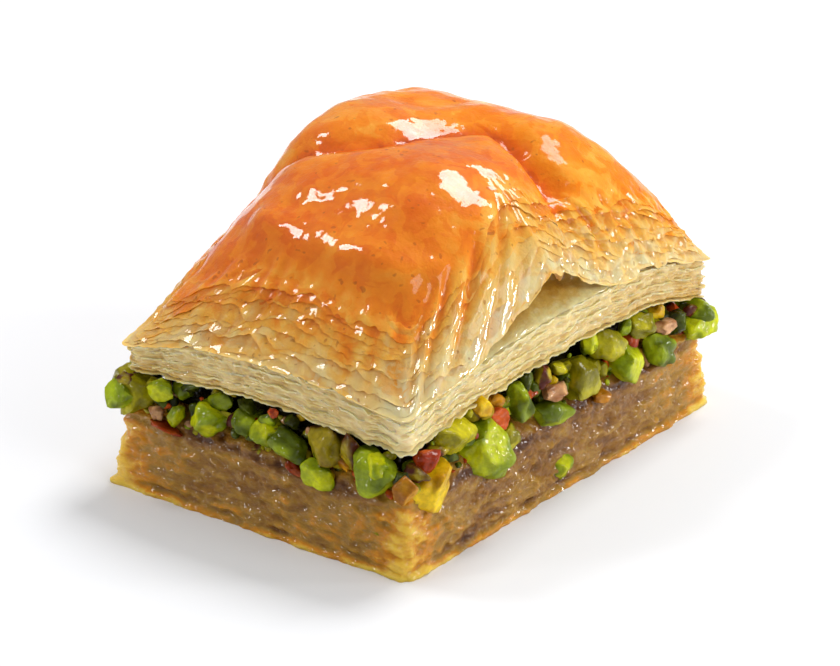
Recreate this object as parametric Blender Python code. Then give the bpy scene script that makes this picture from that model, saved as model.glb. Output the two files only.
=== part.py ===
"""Pistachio baklava, one oblong piece as cut from the tray.

A syrup-soaked base of pressed leaves, a band of chopped pistachio and a puffed lid of thin
leaves under a smooth top crust. Units are metres, +Z is up, and the origin is the middle of
the underside. X runs along the short side and Y along the long side.
"""

import math
import random

import bmesh
import bpy
from mathutils import Matrix, Vector, noise

# Driving dimensions
HALF_X = 0.0200
HALF_Y = 0.0285
CORNER = 0.0012
GAP = 0.00035

BASE_HEIGHT = 0.0100
BASE_SHOULDER = 0.0078
BASE_TAPER = 0.0009
BASE_STRATA = 3

LID_HALF_X = 0.0195
LID_HALF_Y = 0.0286
LID_SHIFT_Y = 0.0006
LID_UNDERSIDE = 0.0135
LID_BACK_DROOP = 0.0013
ARCH_RISE = 0.0026
SLAB_THICKNESS = 0.0046
SLAB_LEAVES = 3
THIN_CORNER = 0.0019

POCKET_HEIGHT = 0.0058
POCKET_DEPTH = 0.0048
POCKET_APEX_Y = -0.0025
POCKET_FRONT_Y = -0.0185
POCKET_BACK_Y = 0.0125
POCKET_FLARE = 1.5

PEAK = 0.0357
SLOPE_LEAVES = 5
SLOPE_STEP = 0.0011
LEAF_LIP = 0.00028
CRUST_LIFT = 0.00040
FLUTE_DEPTH = 0.00036
FLUTE_PITCH = 0.0068
CRUST_INSET = 0.0002 + SLOPE_STEP * SLOPE_LEAVES
CRUST_RINGS = (0.99, 0.91, 0.82, 0.71, 0.59, 0.46, 0.32, 0.17)
CORNER_DRAW = 0.05
CORNER_PULL = 0.14

# The valley between the front and the back lump of the crust, from the -X side to the +X side
CREASE = (
    (-0.0170, -0.0110),
    (-0.0110, -0.0067),
    (-0.0057, -0.0046),
    (-0.0021, -0.0013),
    (0.0004, 0.0040),
    (0.0040, 0.0077),
    (0.0080, 0.0062),
    (0.0124, 0.0050),
    (0.0170, 0.0040),
)
CREASE_SHIFT = 0.0006
CREASE_BACK = 1.5
CREASE_FRONT = 0.8
CREASE_DEPTH = 0.0021
CREASE_WIDTH = 0.0019

NUT_SEED = 23
NUT_COUNT = 74
TALL_GAP = 0.0048
NUT_LEAST = 0.0012
NUT_MOST = 0.0030
NUT_CLEARANCE = 0.0007
CORE_INSET = 0.0018
HANGING_NUTS = ((0.275, 0.0026), (0.345, 0.0020), (0.205, 0.0017), (0.60, 0.0019), (0.83, 0.0021))

# Columns round the outline: those along the -Y and +Y faces, then along the +X and -X faces
SHORT_COLUMNS = 20
LONG_COLUMNS = 26
COLUMNS = 2 * (SHORT_COLUMNS + LONG_COLUMNS) + 4


def smooth(t):
    """Eases from 0 to 1 as t goes from 0 to 1."""
    t = min(1.0, max(0.0, t))
    return t * t * (3.0 - 2.0 * t)


def wavy(x, y, layer, pitch):
    """A smooth random value from about -1 to 1 that differs from one layer to the next."""
    return noise.noise(Vector((x / pitch, y / pitch, 7.3 * layer)))


def clear_scene():
    for obj in list(bpy.data.objects):
        bpy.data.objects.remove(obj, do_unlink=True)


def pastry_material(name, colour, roughness):
    material = bpy.data.materials.new(name)
    material.use_nodes = True
    shader = material.node_tree.nodes["Principled BSDF"]
    shader.inputs["Base Color"].default_value = (*colour, 1.0)
    shader.inputs["Roughness"].default_value = roughness
    shader.inputs["Metallic"].default_value = 0.0
    return material


def outline_direction(column):
    """The (u, v) of a column on the unit square, counter-clockwise from the -X end of the -Y face."""
    u_reach = 1.0 - CORNER / HALF_X
    v_reach = 1.0 - CORNER / HALF_Y
    arc = 1.0 - math.sqrt(0.5)
    u_corner = 1.0 - arc * CORNER / HALF_X
    v_corner = 1.0 - arc * CORNER / HALF_Y
    half = SHORT_COLUMNS + LONG_COLUMNS + 2
    turned = column >= half
    step = column - half if turned else column
    if step < SHORT_COLUMNS:
        u, v = u_reach * (2.0 * step / (SHORT_COLUMNS - 1) - 1.0), -1.0
    elif step == SHORT_COLUMNS:
        u, v = u_corner, -v_corner
    elif step < half - 1:
        along = step - SHORT_COLUMNS - 1
        u, v = 1.0, v_reach * (2.0 * along / (LONG_COLUMNS - 1) - 1.0)
    else:
        u, v = u_corner, v_corner
    return (-u, -v) if turned else (u, v)


def ring_point(column, inset):
    """A point on the base's outline, moved inwards by inset from every face."""
    u, v = outline_direction(column)
    return u * (HALF_X - inset), v * (HALF_Y - inset)


def lid_point(column, inset):
    """A point on the lid's outline, moved inwards by inset from every face."""
    u, v = outline_direction(column)
    return u * (LID_HALF_X - inset), v * (LID_HALF_Y - inset) + LID_SHIFT_Y


def dome_point(column, share):
    """A point on the crust's outline shrunk to a share of its size, with its corners drawn in."""
    u, v = outline_direction(column)
    corner = abs(u * v)
    drawn = share * (1.0 - CORNER_DRAW * corner ** 4) * (1.0 - CORNER_PULL * corner ** 3 * (1.0 - share) ** 0.5)
    return u * drawn * (LID_HALF_X - CRUST_INSET), v * drawn * (LID_HALF_Y - CRUST_INSET) + LID_SHIFT_Y


def lid_share(x, y):
    """(u, v) of a point of the lid, from -1 to 1 between its opposite faces."""
    u = min(1.0, max(-1.0, x / LID_HALF_X))
    v = min(1.0, max(-1.0, (y - LID_SHIFT_Y) / LID_HALF_Y))
    return u, v


def arch(x, y):
    """How far the lid has lifted, 0 at the cut corners and 1 halfway along the +X face."""
    u, v = lid_share(x, y)
    along = max(0.0, math.cos(math.pi / 2 * v)) ** 0.5
    over_front = 0.55 * max(0.0, math.cos(math.pi / 2 * u)) * (1.0 + 0.3 * u) * smooth((1.0 - v) / 2)
    return along * (0.45 + 0.55 * smooth((u + 1.0) / 2)) + over_front * (1.0 - along)


def underside(x, y):
    droop = LID_BACK_DROOP * smooth((y / HALF_Y - 0.55) / 0.45)
    return LID_UNDERSIDE + ARCH_RISE * arch(x, y) - droop


def slab_thickness(x, y):
    """The thickness of the slab of pale leaves, less at the -X -Y corner."""
    u, v = lid_share(x, y)
    return SLAB_THICKNESS - THIN_CORNER * smooth((-u - 0.4) / 0.6) * smooth((-v - 0.5) / 0.5)


def slab_top(x, y):
    return underside(x, y) + slab_thickness(x, y)


def pocket(x, y):
    """How open the pocket under the lifted leaves is, 0 where shut and 1 at its apex on the +X face."""
    end = POCKET_FRONT_Y if y < POCKET_APEX_Y else POCKET_BACK_Y
    along = max(0.0, (y - end) / (POCKET_APEX_Y - end)) ** POCKET_FLARE
    return along * smooth((x / HALF_X - 0.35) / 0.6)


def leaf_edge(x, y):
    """The height at which the puffed leaves leave the slab."""
    return slab_top(x, y) + POCKET_HEIGHT * pocket(x, y)


def lump(x, y, centre, spread, rise):
    dx = (x - centre[0]) / spread[0]
    dy = (y - centre[1]) / spread[1]
    return rise * math.exp(-(dx * dx + dy * dy))


def crease_distance(x, y):
    """The distance from a point to the crease, seen from above and positive on its back side."""
    point = Vector((x, y))
    nearest, side = 1.0, 1.0
    for start, end in zip(CREASE, CREASE[1:]):
        a, b = Vector(start), Vector(end)
        t = (point - a).dot(b - a) / (b - a).length_squared
        gap = (point - a.lerp(b, min(1.0, max(0.0, t)))).length
        if gap < nearest:
            nearest, side = gap, 1.0 if (b - a).cross(point - a) > 0 else -1.0
    return side * nearest


def dome(x, y):
    """The height of the crust over a point: a steep-sided pillow with two lumps and a crease."""
    u, v = lid_share(x, y)
    if u > 0:
        across = (1.0 - abs(u) ** 3.6) ** 0.90
    else:
        across = (1.0 - abs(u) ** (3.0 + 4.2 * smooth((v + 0.45) / 0.45))) ** 0.88
    along = (1.0 - abs(v) ** 2.5) ** 1.15 if v < 0 else (1.0 - abs(v) ** 3.6) ** 0.85
    fill = across * along
    edge = leaf_edge(x, y)
    height = edge + (PEAK - edge) * fill
    height += lump(x, y, (0.0055, -0.0085), (0.0095, 0.0085), 0.0014)
    height += lump(x, y, (-0.0115, 0.0035), (0.0070, 0.0070), 0.0010)
    height += lump(x, y, (0.0060, 0.0150), (0.0080, 0.0070), 0.0008)
    gap = crease_distance(x, y)
    width = CREASE_WIDTH * (CREASE_BACK if gap > 0 else CREASE_FRONT)
    height -= CREASE_DEPTH * math.exp(-(((gap - CREASE_SHIFT) / width) ** 2)) * fill ** 0.5
    height += 0.0006 * fill * wavy(x, y, 3, 0.006)
    return height


def flute(x, y, strength):
    """The fine upright pleats where the leaves bunch up on the slopes."""
    run = x if abs(y) / HALF_Y > abs(x) / HALF_X else y
    phase = 2 * math.pi * run / FLUTE_PITCH + 2.5 * wavy(x, y, 9, 0.012)
    return strength * FLUTE_DEPTH * math.sin(phase)


def face_outwards(shape):
    bmesh.ops.recalc_face_normals(shape, faces=shape.faces)
    if shape.calc_volume(signed=True) < 0:
        bmesh.ops.reverse_faces(shape, faces=shape.faces)


def layered_solid(name, rows, material, collection):
    """A closed solid whose rings are rows, listed from the underside's middle to the top's middle.

    Each row is a function of the column that gives a point. The first and the last give the same
    point for every column, where the solid's two poles are.
    """
    shape = bmesh.new()
    bmesh.ops.create_uvsphere(shape, u_segments=COLUMNS, v_segments=len(rows) - 1, radius=1.0)
    for vertex in shape.verts:
        latitude = math.asin(max(-1.0, min(1.0, vertex.co.z)))
        row = round((latitude / math.pi + 0.5) * (len(rows) - 1))
        turn = math.atan2(vertex.co.y, vertex.co.x) / (2 * math.pi)
        column = round(turn * COLUMNS) % COLUMNS
        vertex.co = rows[row](column)
    face_outwards(shape)
    mesh = bpy.data.meshes.new(name)
    shape.to_mesh(mesh)
    shape.free()
    mesh.materials.append(material)
    obj = bpy.data.objects.new(name, mesh)
    collection.objects.link(obj)
    mesh.shade_smooth()
    mesh.set_sharp_from_angle(angle=math.radians(50))
    return obj


def base_rows():
    """The soaked base: slightly wider at its foot, with pressed strata and a rounded shoulder."""

    def flat(share, height):
        return lambda c: Vector((*(share * k for k in ring_point(c, 0.0)), height))

    def side(height, inset, layer):
        def place(column):
            x, y = ring_point(column, inset)
            ragged = 0.00035 * wavy(x, y, layer, 0.0045) + 0.00020 * wavy(x, y, layer, 0.0016)
            lift = 0.00025 * wavy(x, y, layer + 40, 0.006) if 0.0 < height < BASE_HEIGHT else 0.0
            scale = 1.0 + ragged / HALF_X
            return Vector((x * scale, y * scale, height + lift))

        return place

    rows = [flat(0.0, 0.0), side(0.0, 0.0005, 1), side(0.0007, 0.0, 2)]
    for k in range(BASE_STRATA):
        share = (k + 0.5) / BASE_STRATA
        height = 0.0016 + (BASE_SHOULDER - 0.0016) * share
        inset = BASE_TAPER * share
        rows.append(side(height - 0.0005, inset + 0.00030, 10 + 2 * k))
        rows.append(side(height + 0.0003, inset, 11 + 2 * k))
    rows.append(side(BASE_SHOULDER + 0.0012, BASE_TAPER + 0.0007, 30))
    rows.append(side(BASE_HEIGHT, BASE_TAPER + 0.0020, 31))
    rows.append(flat(0.5, BASE_HEIGHT))
    rows.append(flat(0.0, BASE_HEIGHT))
    return rows


def lid_rows():
    """The lid: a slab of pale leaves, the pocket, the stepped leaves of the slopes and the crust."""

    def beneath(share):
        def place(column):
            x, y = lid_point(column, 0.0)
            x, y = share * x, share * (y - LID_SHIFT_Y) + LID_SHIFT_Y
            return Vector((x, y, underside(x, y)))

        return place

    def slab(share, inset, layer):
        def place(column):
            x, y = lid_point(column, inset)
            ragged = 0.00045 * wavy(x, y, layer, 0.0040) + 0.00025 * wavy(x, y, layer, 0.0018)
            scale = 1.0 + ragged / HALF_X
            x, y = x * scale, y * scale
            low, high = underside(x, y), slab_top(x, y)
            return Vector((x, y, low + (high - low) * share))

        return place

    def pocket_floor(column):
        outer_x, outer_y = lid_point(column, 0.0)
        x, y = lid_point(column, 0.0005 + POCKET_DEPTH * pocket(outer_x, outer_y))
        return Vector((x, y, slab_top(outer_x, outer_y) + 0.35 * POCKET_HEIGHT * pocket(outer_x, outer_y)))

    def slope(inset, lip, layer):
        def place(column):
            x, y = lid_point(column, inset)
            u, v = outline_direction(column)
            shrink = 1.0 - CORNER_DRAW * abs(u * v) ** 4 * inset / CRUST_INSET
            ragged = lip + 0.00040 * wavy(x, y, layer, 0.0035) + 0.00022 * wavy(x, y, layer, 0.0016)
            scale = shrink * (1.0 + ragged / HALF_X)
            height = dome(x, y) + flute(x, y, min(1.0, inset / 0.004)) + CRUST_LIFT
            return Vector((x * scale, y * scale, height + 0.5 * lip))

        return place

    def crust(share):
        def place(column):
            x, y = dome_point(column, share)
            return Vector((x, y, dome(x, y) + flute(x, y, smooth((share - 0.5) / 0.45)) + CRUST_LIFT))

        return place

    rows = [beneath(0.0), beneath(0.55), slab(0.0, 0.0007, 49)]
    for k in range(SLAB_LEAVES):
        share = (k + 0.5) / SLAB_LEAVES
        rows.append(slab(share - 0.30 / SLAB_LEAVES, 0.0, 50 + k))
        rows.append(slab(share + 0.30 / SLAB_LEAVES, 0.00015, 50 + k))
        rows.append(slab((k + 1) / SLAB_LEAVES, 0.00050, 55 + k))
    rows.append(pocket_floor)
    for k in range(SLOPE_LEAVES):
        inset = 0.0002 + SLOPE_STEP * k
        rows.append(slope(inset, LEAF_LIP, 60 + k))
        rows.append(slope(inset + 0.55 * SLOPE_STEP, -LEAF_LIP, 70 + k))
    rows.extend(crust(share) for share in CRUST_RINGS)
    rows.append(crust(0.0))
    return rows


def filling_floor():
    return BASE_HEIGHT + GAP


def filling_roof(x, y):
    return underside(x, y) - GAP


def nut_floor(x, y):
    """How low a nut may reach: to the base's top, down its rounded shoulder, or past it outside."""
    inset = min(HALF_X - abs(x), HALF_Y - abs(y))
    shoulder_low = BASE_SHOULDER + 0.0005
    if inset < -NUT_CLEARANCE:
        return 0.0
    share = min(1.0, (inset + NUT_CLEARANCE) / (BASE_TAPER + 0.0020 + NUT_CLEARANCE))
    return shoulder_low + (filling_floor() - shoulder_low) * share


def filling_rows():
    """The bare core of the filling, between the base and the lid."""

    def place_at(share, inset, roofed):
        def place(column):
            x, y = (share * k for k in ring_point(column, inset))
            return Vector((x, y, filling_roof(x, y) - 0.0001 if roofed else filling_floor()))

        return place

    return [
        place_at(0.0, 0.0, False),
        place_at(1.0, CORE_INSET + 0.0004, False),
        place_at(1.0, CORE_INSET, True),
        place_at(0.55, 0.0, True),
        place_at(0.0, 0.0, True),
    ]


def face_point(turn, inset):
    """A point at a share of the way round the cut faces, with the outward direction there."""
    run = turn % 1.0 * 4.0 * (HALF_X + HALF_Y)
    sides = (
        (2 * HALF_X, Vector((-HALF_X, -HALF_Y)), Vector((1, 0)), Vector((0, -1))),
        (2 * HALF_Y, Vector((HALF_X, -HALF_Y)), Vector((0, 1)), Vector((1, 0))),
        (2 * HALF_X, Vector((HALF_X, HALF_Y)), Vector((-1, 0)), Vector((0, 1))),
        (2 * HALF_Y, Vector((-HALF_X, HALF_Y)), Vector((0, -1)), Vector((-1, 0))),
    )
    for length, start, ahead, outwards in sides:
        if run <= length:
            return start + ahead * run - outwards * inset, outwards
        run -= length
    return sides[0][1].copy(), sides[0][3]


def nut_piece(centre, size, draw, collection):
    """One chopped piece of pistachio: a few-sided lump, flattened and turned at random."""
    shape = bmesh.new()
    bmesh.ops.create_icosphere(shape, subdivisions=1, radius=1.0)
    for vertex in shape.verts:
        vertex.co *= draw.uniform(0.82, 1.12)
    turn = Matrix.Rotation(draw.uniform(0, math.pi), 3, Vector((draw.random(), draw.random(), 1.0)))
    bmesh.ops.transform(shape, matrix=turn.to_4x4(), verts=shape.verts)
    for vertex in shape.verts:
        vertex.co = Vector(centre) + Vector([k * s for k, s in zip(vertex.co, size)])
        vertex.co.z = min(vertex.co.z, filling_roof(vertex.co.x, vertex.co.y))
        vertex.co.z = max(vertex.co.z, nut_floor(vertex.co.x, vertex.co.y))
    face_outwards(shape)
    mesh = bpy.data.meshes.new("nut")
    shape.to_mesh(mesh)
    shape.free()
    obj = bpy.data.objects.new("nut", mesh)
    collection.objects.link(obj)
    return obj


def scatter_nuts(collection):
    """Chopped pistachio all round the cut faces, in rows one above the other where the lid has lifted."""
    draw = random.Random(NUT_SEED)
    for k in range(NUT_COUNT):
        turn = (k + draw.uniform(-0.35, 0.35)) / NUT_COUNT
        (x, y), outwards = face_point(turn, 0.0)
        low, high = filling_floor(), filling_roof(x, y)
        room = high - low
        levels = (0.24, 0.72) if room > TALL_GAP else (0.42,)
        for level in levels:
            radius = min(draw.uniform(NUT_LEAST, NUT_MOST), 0.60 * room)
            depth = draw.uniform(0.0017, 0.0024)
            width = radius * draw.uniform(0.9, 1.35)
            size = [width if outwards[i] == 0 else depth for i in (0, 1)] + [radius * draw.uniform(0.6, 0.9)]
            (x, y), outwards = face_point(turn, draw.uniform(0.0007, 0.0016))
            nut_piece((x, y, low + room * level), size, draw, collection)
    for turn, radius in HANGING_NUTS:
        (x, y), outwards = face_point(turn, 0.0003)
        size = [radius if outwards[i] == 0 else 0.0026 for i in (0, 1)] + [radius * 0.9]
        nut_piece((x, y, BASE_HEIGHT + 0.6 * radius), size, draw, collection)


def keep_outer_shell(mesh):
    """Fills the sealed hollows between joined pieces by keeping only the largest shell of faces."""
    shape = bmesh.new()
    shape.from_mesh(mesh)
    unseen = set(shape.faces)
    shells = []
    while unseen:
        shell, border = set(), [unseen.pop()]
        while border:
            face = border.pop()
            shell.add(face)
            beside = {near for edge in face.edges for near in edge.link_faces} & unseen
            unseen -= beside
            border.extend(beside)
        shells.append(shell)
    largest = max(shells, key=len)
    inner = [face for shell in shells if shell is not largest for face in shell]
    bmesh.ops.delete(shape, geom=inner, context="FACES")
    shape.to_mesh(mesh)
    shape.free()


def filling_solid(material, collection):
    """The core with every nut piece joined on by one union."""
    core = layered_solid("pistachio_filling", filling_rows(), material, collection)
    nuts = bpy.data.collections.new("nuts")
    bpy.context.scene.collection.children.link(nuts)
    scatter_nuts(nuts)
    union = core.modifiers.new("union", "BOOLEAN")
    union.operation = "UNION"
    union.operand_type = "COLLECTION"
    union.collection = nuts
    union.solver = "MANIFOLD"
    bpy.context.view_layer.update()
    graph = bpy.context.evaluated_depsgraph_get()
    joined = bpy.data.meshes.new_from_object(core.evaluated_get(graph))
    core.modifiers.clear()
    keep_outer_shell(joined)
    core.data = joined
    for nut in list(nuts.objects):
        bpy.data.objects.remove(nut, do_unlink=True)
    bpy.data.collections.remove(nuts)
    return core


def main():
    clear_scene()
    baklava = bpy.data.collections.new("baklava")
    bpy.context.scene.collection.children.link(baklava)
    soaked = pastry_material("soaked_pastry", (0.46, 0.25, 0.07), 0.30)
    green = pastry_material("pistachio", (0.33, 0.42, 0.05), 0.40)
    golden = pastry_material("golden_pastry", (0.80, 0.40, 0.10), 0.25)
    layered_solid("base_pastry", base_rows(), soaked, baklava)
    filling_solid(green, baklava)
    layered_solid("lid_pastry", lid_rows(), golden, baklava)


main()
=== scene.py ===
"""The looks of one oblong piece of pistachio baklava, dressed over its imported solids.

The single pastry leaves, the chopped kernels, the syrup's gloss, the light and the camera are
made here. Units are metres, +Z is up, X runs along the short side and Y along the long side,
and the origin is the middle of the underside.
"""

import logging
import math
import random
from dataclasses import dataclass, field
from enum import Enum
from functools import partial
from typing import Any, Callable, Iterable, Sequence

import bmesh
import bpy
from mathutils import Matrix, Vector, noise


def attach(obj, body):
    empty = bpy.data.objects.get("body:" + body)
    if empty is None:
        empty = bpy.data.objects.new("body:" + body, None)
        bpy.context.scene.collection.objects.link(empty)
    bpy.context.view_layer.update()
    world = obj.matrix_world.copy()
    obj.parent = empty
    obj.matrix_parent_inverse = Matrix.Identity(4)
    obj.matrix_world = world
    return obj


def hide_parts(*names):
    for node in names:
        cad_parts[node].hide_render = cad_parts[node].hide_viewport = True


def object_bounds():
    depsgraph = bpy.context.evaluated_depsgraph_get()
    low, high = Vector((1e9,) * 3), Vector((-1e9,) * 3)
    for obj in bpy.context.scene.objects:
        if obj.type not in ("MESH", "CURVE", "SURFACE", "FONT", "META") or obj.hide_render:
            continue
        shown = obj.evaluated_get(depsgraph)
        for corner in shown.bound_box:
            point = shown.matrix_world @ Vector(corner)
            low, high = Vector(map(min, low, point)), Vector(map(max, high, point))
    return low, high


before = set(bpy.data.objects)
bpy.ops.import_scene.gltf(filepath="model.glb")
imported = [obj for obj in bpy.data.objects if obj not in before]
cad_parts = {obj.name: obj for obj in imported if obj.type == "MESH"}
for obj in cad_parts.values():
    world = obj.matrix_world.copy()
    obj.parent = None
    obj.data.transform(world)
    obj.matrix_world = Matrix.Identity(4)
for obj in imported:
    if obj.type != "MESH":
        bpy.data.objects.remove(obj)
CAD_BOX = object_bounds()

log = logging.getLogger("baklava")

MM = 0.001
SEAM = 1e-7

Point2 = tuple[float, float]
Point3 = tuple[float, float, float]
Stops = tuple[tuple[float, str], ...]
Placed = tuple[Vector, float]


def smooth(t: float) -> float:
    """Eases from 0 to 1 as t goes from 0 to 1."""
    t = min(1.0, max(0.0, t))
    return t * t * (3.0 - 2.0 * t)


def mix(low: float, high: float, share: float) -> float:
    """The value a share of the way from low to high."""
    return low + (high - low) * share


def wavy(x: float, y: float, layer: float, pitch: float) -> float:
    """A smooth random value from about -1 to 1 that differs from one layer to the next."""
    return noise.noise(Vector((x / pitch, y / pitch, 7.3 * layer)))


def rough(point: Vector, pitch: float, octaves: int = 3) -> float:
    """Fractal noise from about -1 to 1 at a point in space, its largest bumps a pitch apart."""
    return noise.fractal(point / pitch, 0.9, 2.1, octaves)


def band(value: float, middle: float, width: float) -> float:
    """A round hump of height 1 at the middle, falling off within about a width."""
    return math.exp(-(((value - middle) / width) ** 2))


def bump(x: float, y: float, centre: Point2, spread: Point2) -> float:
    """A round hump of height 1 seen from above, falling off within about its spread."""
    return math.exp(-(((x - centre[0]) / spread[0]) ** 2 + ((y - centre[1]) / spread[1]) ** 2))


def linear(hex_colour: str) -> tuple[float, float, float, float]:
    """Turns an sRGB hex colour into the linear colour that shaders take.

    Args:
        hex_colour: six hex digits after a hash.

    Returns:
        Linear red, green and blue, and an alpha of 1.
    """
    channels = [int(hex_colour[i : i + 2], 16) / 255.0 for i in (1, 3, 5)]
    red, green, blue = (c / 12.92 if c <= 0.04045 else ((c + 0.055) / 1.055) ** 2.4 for c in channels)
    return red, green, blue, 1.0


def steps(value: float, table: Sequence[Point2]) -> float:
    """Reads a table of (place, value) pairs, easing from one pair to the next.

    Args:
        value: the place to read at.
        table: pairs in order of place.

    Returns:
        The eased value there, or the nearest end's value outside the table.
    """
    if value <= table[0][0]:
        return table[0][1]
    for (start, low), (end, high) in zip(table, table[1:]):
        if value <= end:
            return mix(low, high, smooth((value - start) / (end - start)))
    return table[-1][1]


def line_gap(x: float, y: float, line: Sequence[Point2]) -> Point2:
    """How far a point lies from a line of points, seen from above.

    Args:
        x: the point's place along X.
        y: the point's place along Y.
        line: the line's points in order.

    Returns:
        The distance, positive on the line's left side, and the share of the line passed.
    """
    best, side, passed = 1.0, 1.0, 0.0
    for index, ((ax, ay), (bx, by)) in enumerate(zip(line, line[1:])):
        dx, dy = bx - ax, by - ay
        t = min(1.0, max(0.0, ((x - ax) * dx + (y - ay) * dy) / (dx * dx + dy * dy)))
        gap = math.hypot(x - ax - t * dx, y - ay - t * dy)
        if gap < best:
            best = gap
            side = 1.0 if dx * (y - ay) - dy * (x - ax) > 0 else -1.0
            passed = (index + t) / (len(line) - 1)
    return side * best, passed


def feed(node: bpy.types.Node, inputs: dict[str | int, Any]) -> None:
    """Gives a node's inputs their values, or links them where a value is an output socket.

    Args:
        node: the node.
        inputs: values or output sockets, by input name or number.
    """
    for key, value in inputs.items():
        if isinstance(value, bpy.types.NodeSocket):
            node.id_data.links.new(value, node.inputs[key])
        else:
            node.inputs[key].default_value = value


def add_node(
    material: bpy.types.Material,
    kind: str,
    inputs: dict[str | int, Any] | None = None,
    stops: Stops = (),
    **settings: Any,
) -> bpy.types.Node:
    """Adds a shader node with its settings, values, links and colour stops.

    Args:
        material: the material that gets the node.
        kind: the node's type name.
        inputs: values, or output sockets to link from, by input name or number.
        stops: a colour ramp's (place, hex colour) pairs.
        settings: the node's own properties.

    Returns:
        The new node.
    """
    node = material.node_tree.nodes.new(kind)
    for name, value in settings.items():
        setattr(node, name, value)
    feed(node, inputs or {})
    if stops:
        ramp = node.color_ramp
        while len(ramp.elements) < len(stops):
            ramp.elements.new(0.5)
        for element, (place, colour) in zip(ramp.elements, stops):
            element.position = place
            element.color = linear(colour)
    return node


def dress(
    shape: bmesh.types.BMesh, name: str, finish: bpy.types.Material, node: str, sharp: float
) -> None:
    """Makes a shape one object that rides on the part.

    A volume below zero says that the shape is inside out, as mirrored kernels are, so its faces
    are turned to point outwards.

    Args:
        shape: the shape, which is used up.
        name: the piece's name.
        finish: its material.
        node: the solid that the piece stands for.
        sharp: the angle in degrees past which an edge stays sharp.
    """
    if shape.calc_volume(signed=True) < 0.0:
        bmesh.ops.reverse_faces(shape, faces=shape.faces)
    mesh = bpy.data.meshes.new(name)
    shape.to_mesh(mesh)
    shape.free()
    mesh.materials.append(finish)
    mesh.shade_smooth()
    mesh.set_sharp_from_angle(angle=math.radians(sharp))
    piece = bpy.data.objects.new(name, mesh)
    bpy.context.scene.collection.objects.link(piece)
    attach(piece, "root")
    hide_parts(node)
    lowest = min(vertex.co.z for vertex in mesh.vertices)
    log.info("%s: %d faces, from %.1f mm up", name, len(mesh.polygons), lowest / MM)


@dataclass(frozen=True)
class Outline:
    """A rectangle with rounded corners, seen from above.

    A turn counts its sides from the -X -Y corner: 0 to 1 is the -Y side, 1 to 2 the +X side,
    2 to 3 the +Y side and 3 to 4 the -X side, each from mid-corner to mid-corner.
    """

    half_x: float
    half_y: float
    corner: float = 1.2 * MM
    middle_y: float = 0.0

    def share(self, turn: float) -> Point2:
        """How far across and along the rectangle a turn lies.

        Args:
            turn: the way round the outline.

        Returns:
            The shares, from -1 to 1 between opposite sides.
        """
        side, along = int(turn) % 4, turn % 1.0
        reach, depth = (self.half_x, self.half_y) if side % 2 == 0 else (self.half_y, self.half_x)
        arc = self.corner * math.pi / 4
        straight = 2 * (reach - self.corner)
        run = along * (straight + 2 * arc)
        if run < arc:
            angle = (run / arc - 1.0) * math.pi / 4
            a = self.corner - reach + self.corner * math.sin(angle)
        elif run > straight + arc:
            angle = (run - straight - arc) / arc * math.pi / 4
            a = reach - self.corner + self.corner * math.sin(angle)
        else:
            angle = 0.0
            a = run - arc - reach + self.corner
        out = depth - self.corner + self.corner * math.cos(angle)
        x, y = ((a, -out), (out, a), (-a, out), (-out, -a))[side]
        return x / self.half_x, y / self.half_y

    def point(self, turn: float, inset: float = 0.0) -> Point2:
        """The (x, y) of a turn, moved inwards by inset from every side."""
        u, v = self.share(turn)
        return u * (self.half_x - inset), v * (self.half_y - inset) + self.middle_y

    def turns(self, pitch: float) -> list[float]:
        """Turns all the way round, about a pitch apart and at every mid-corner."""
        counts = [round(2 * half / pitch) for half in (self.half_x, self.half_y)] * 2
        return [side + k / count for side, count in enumerate(counts) for k in range(count)]


BASE_OUTLINE = Outline(20.0 * MM, 28.5 * MM)


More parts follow.
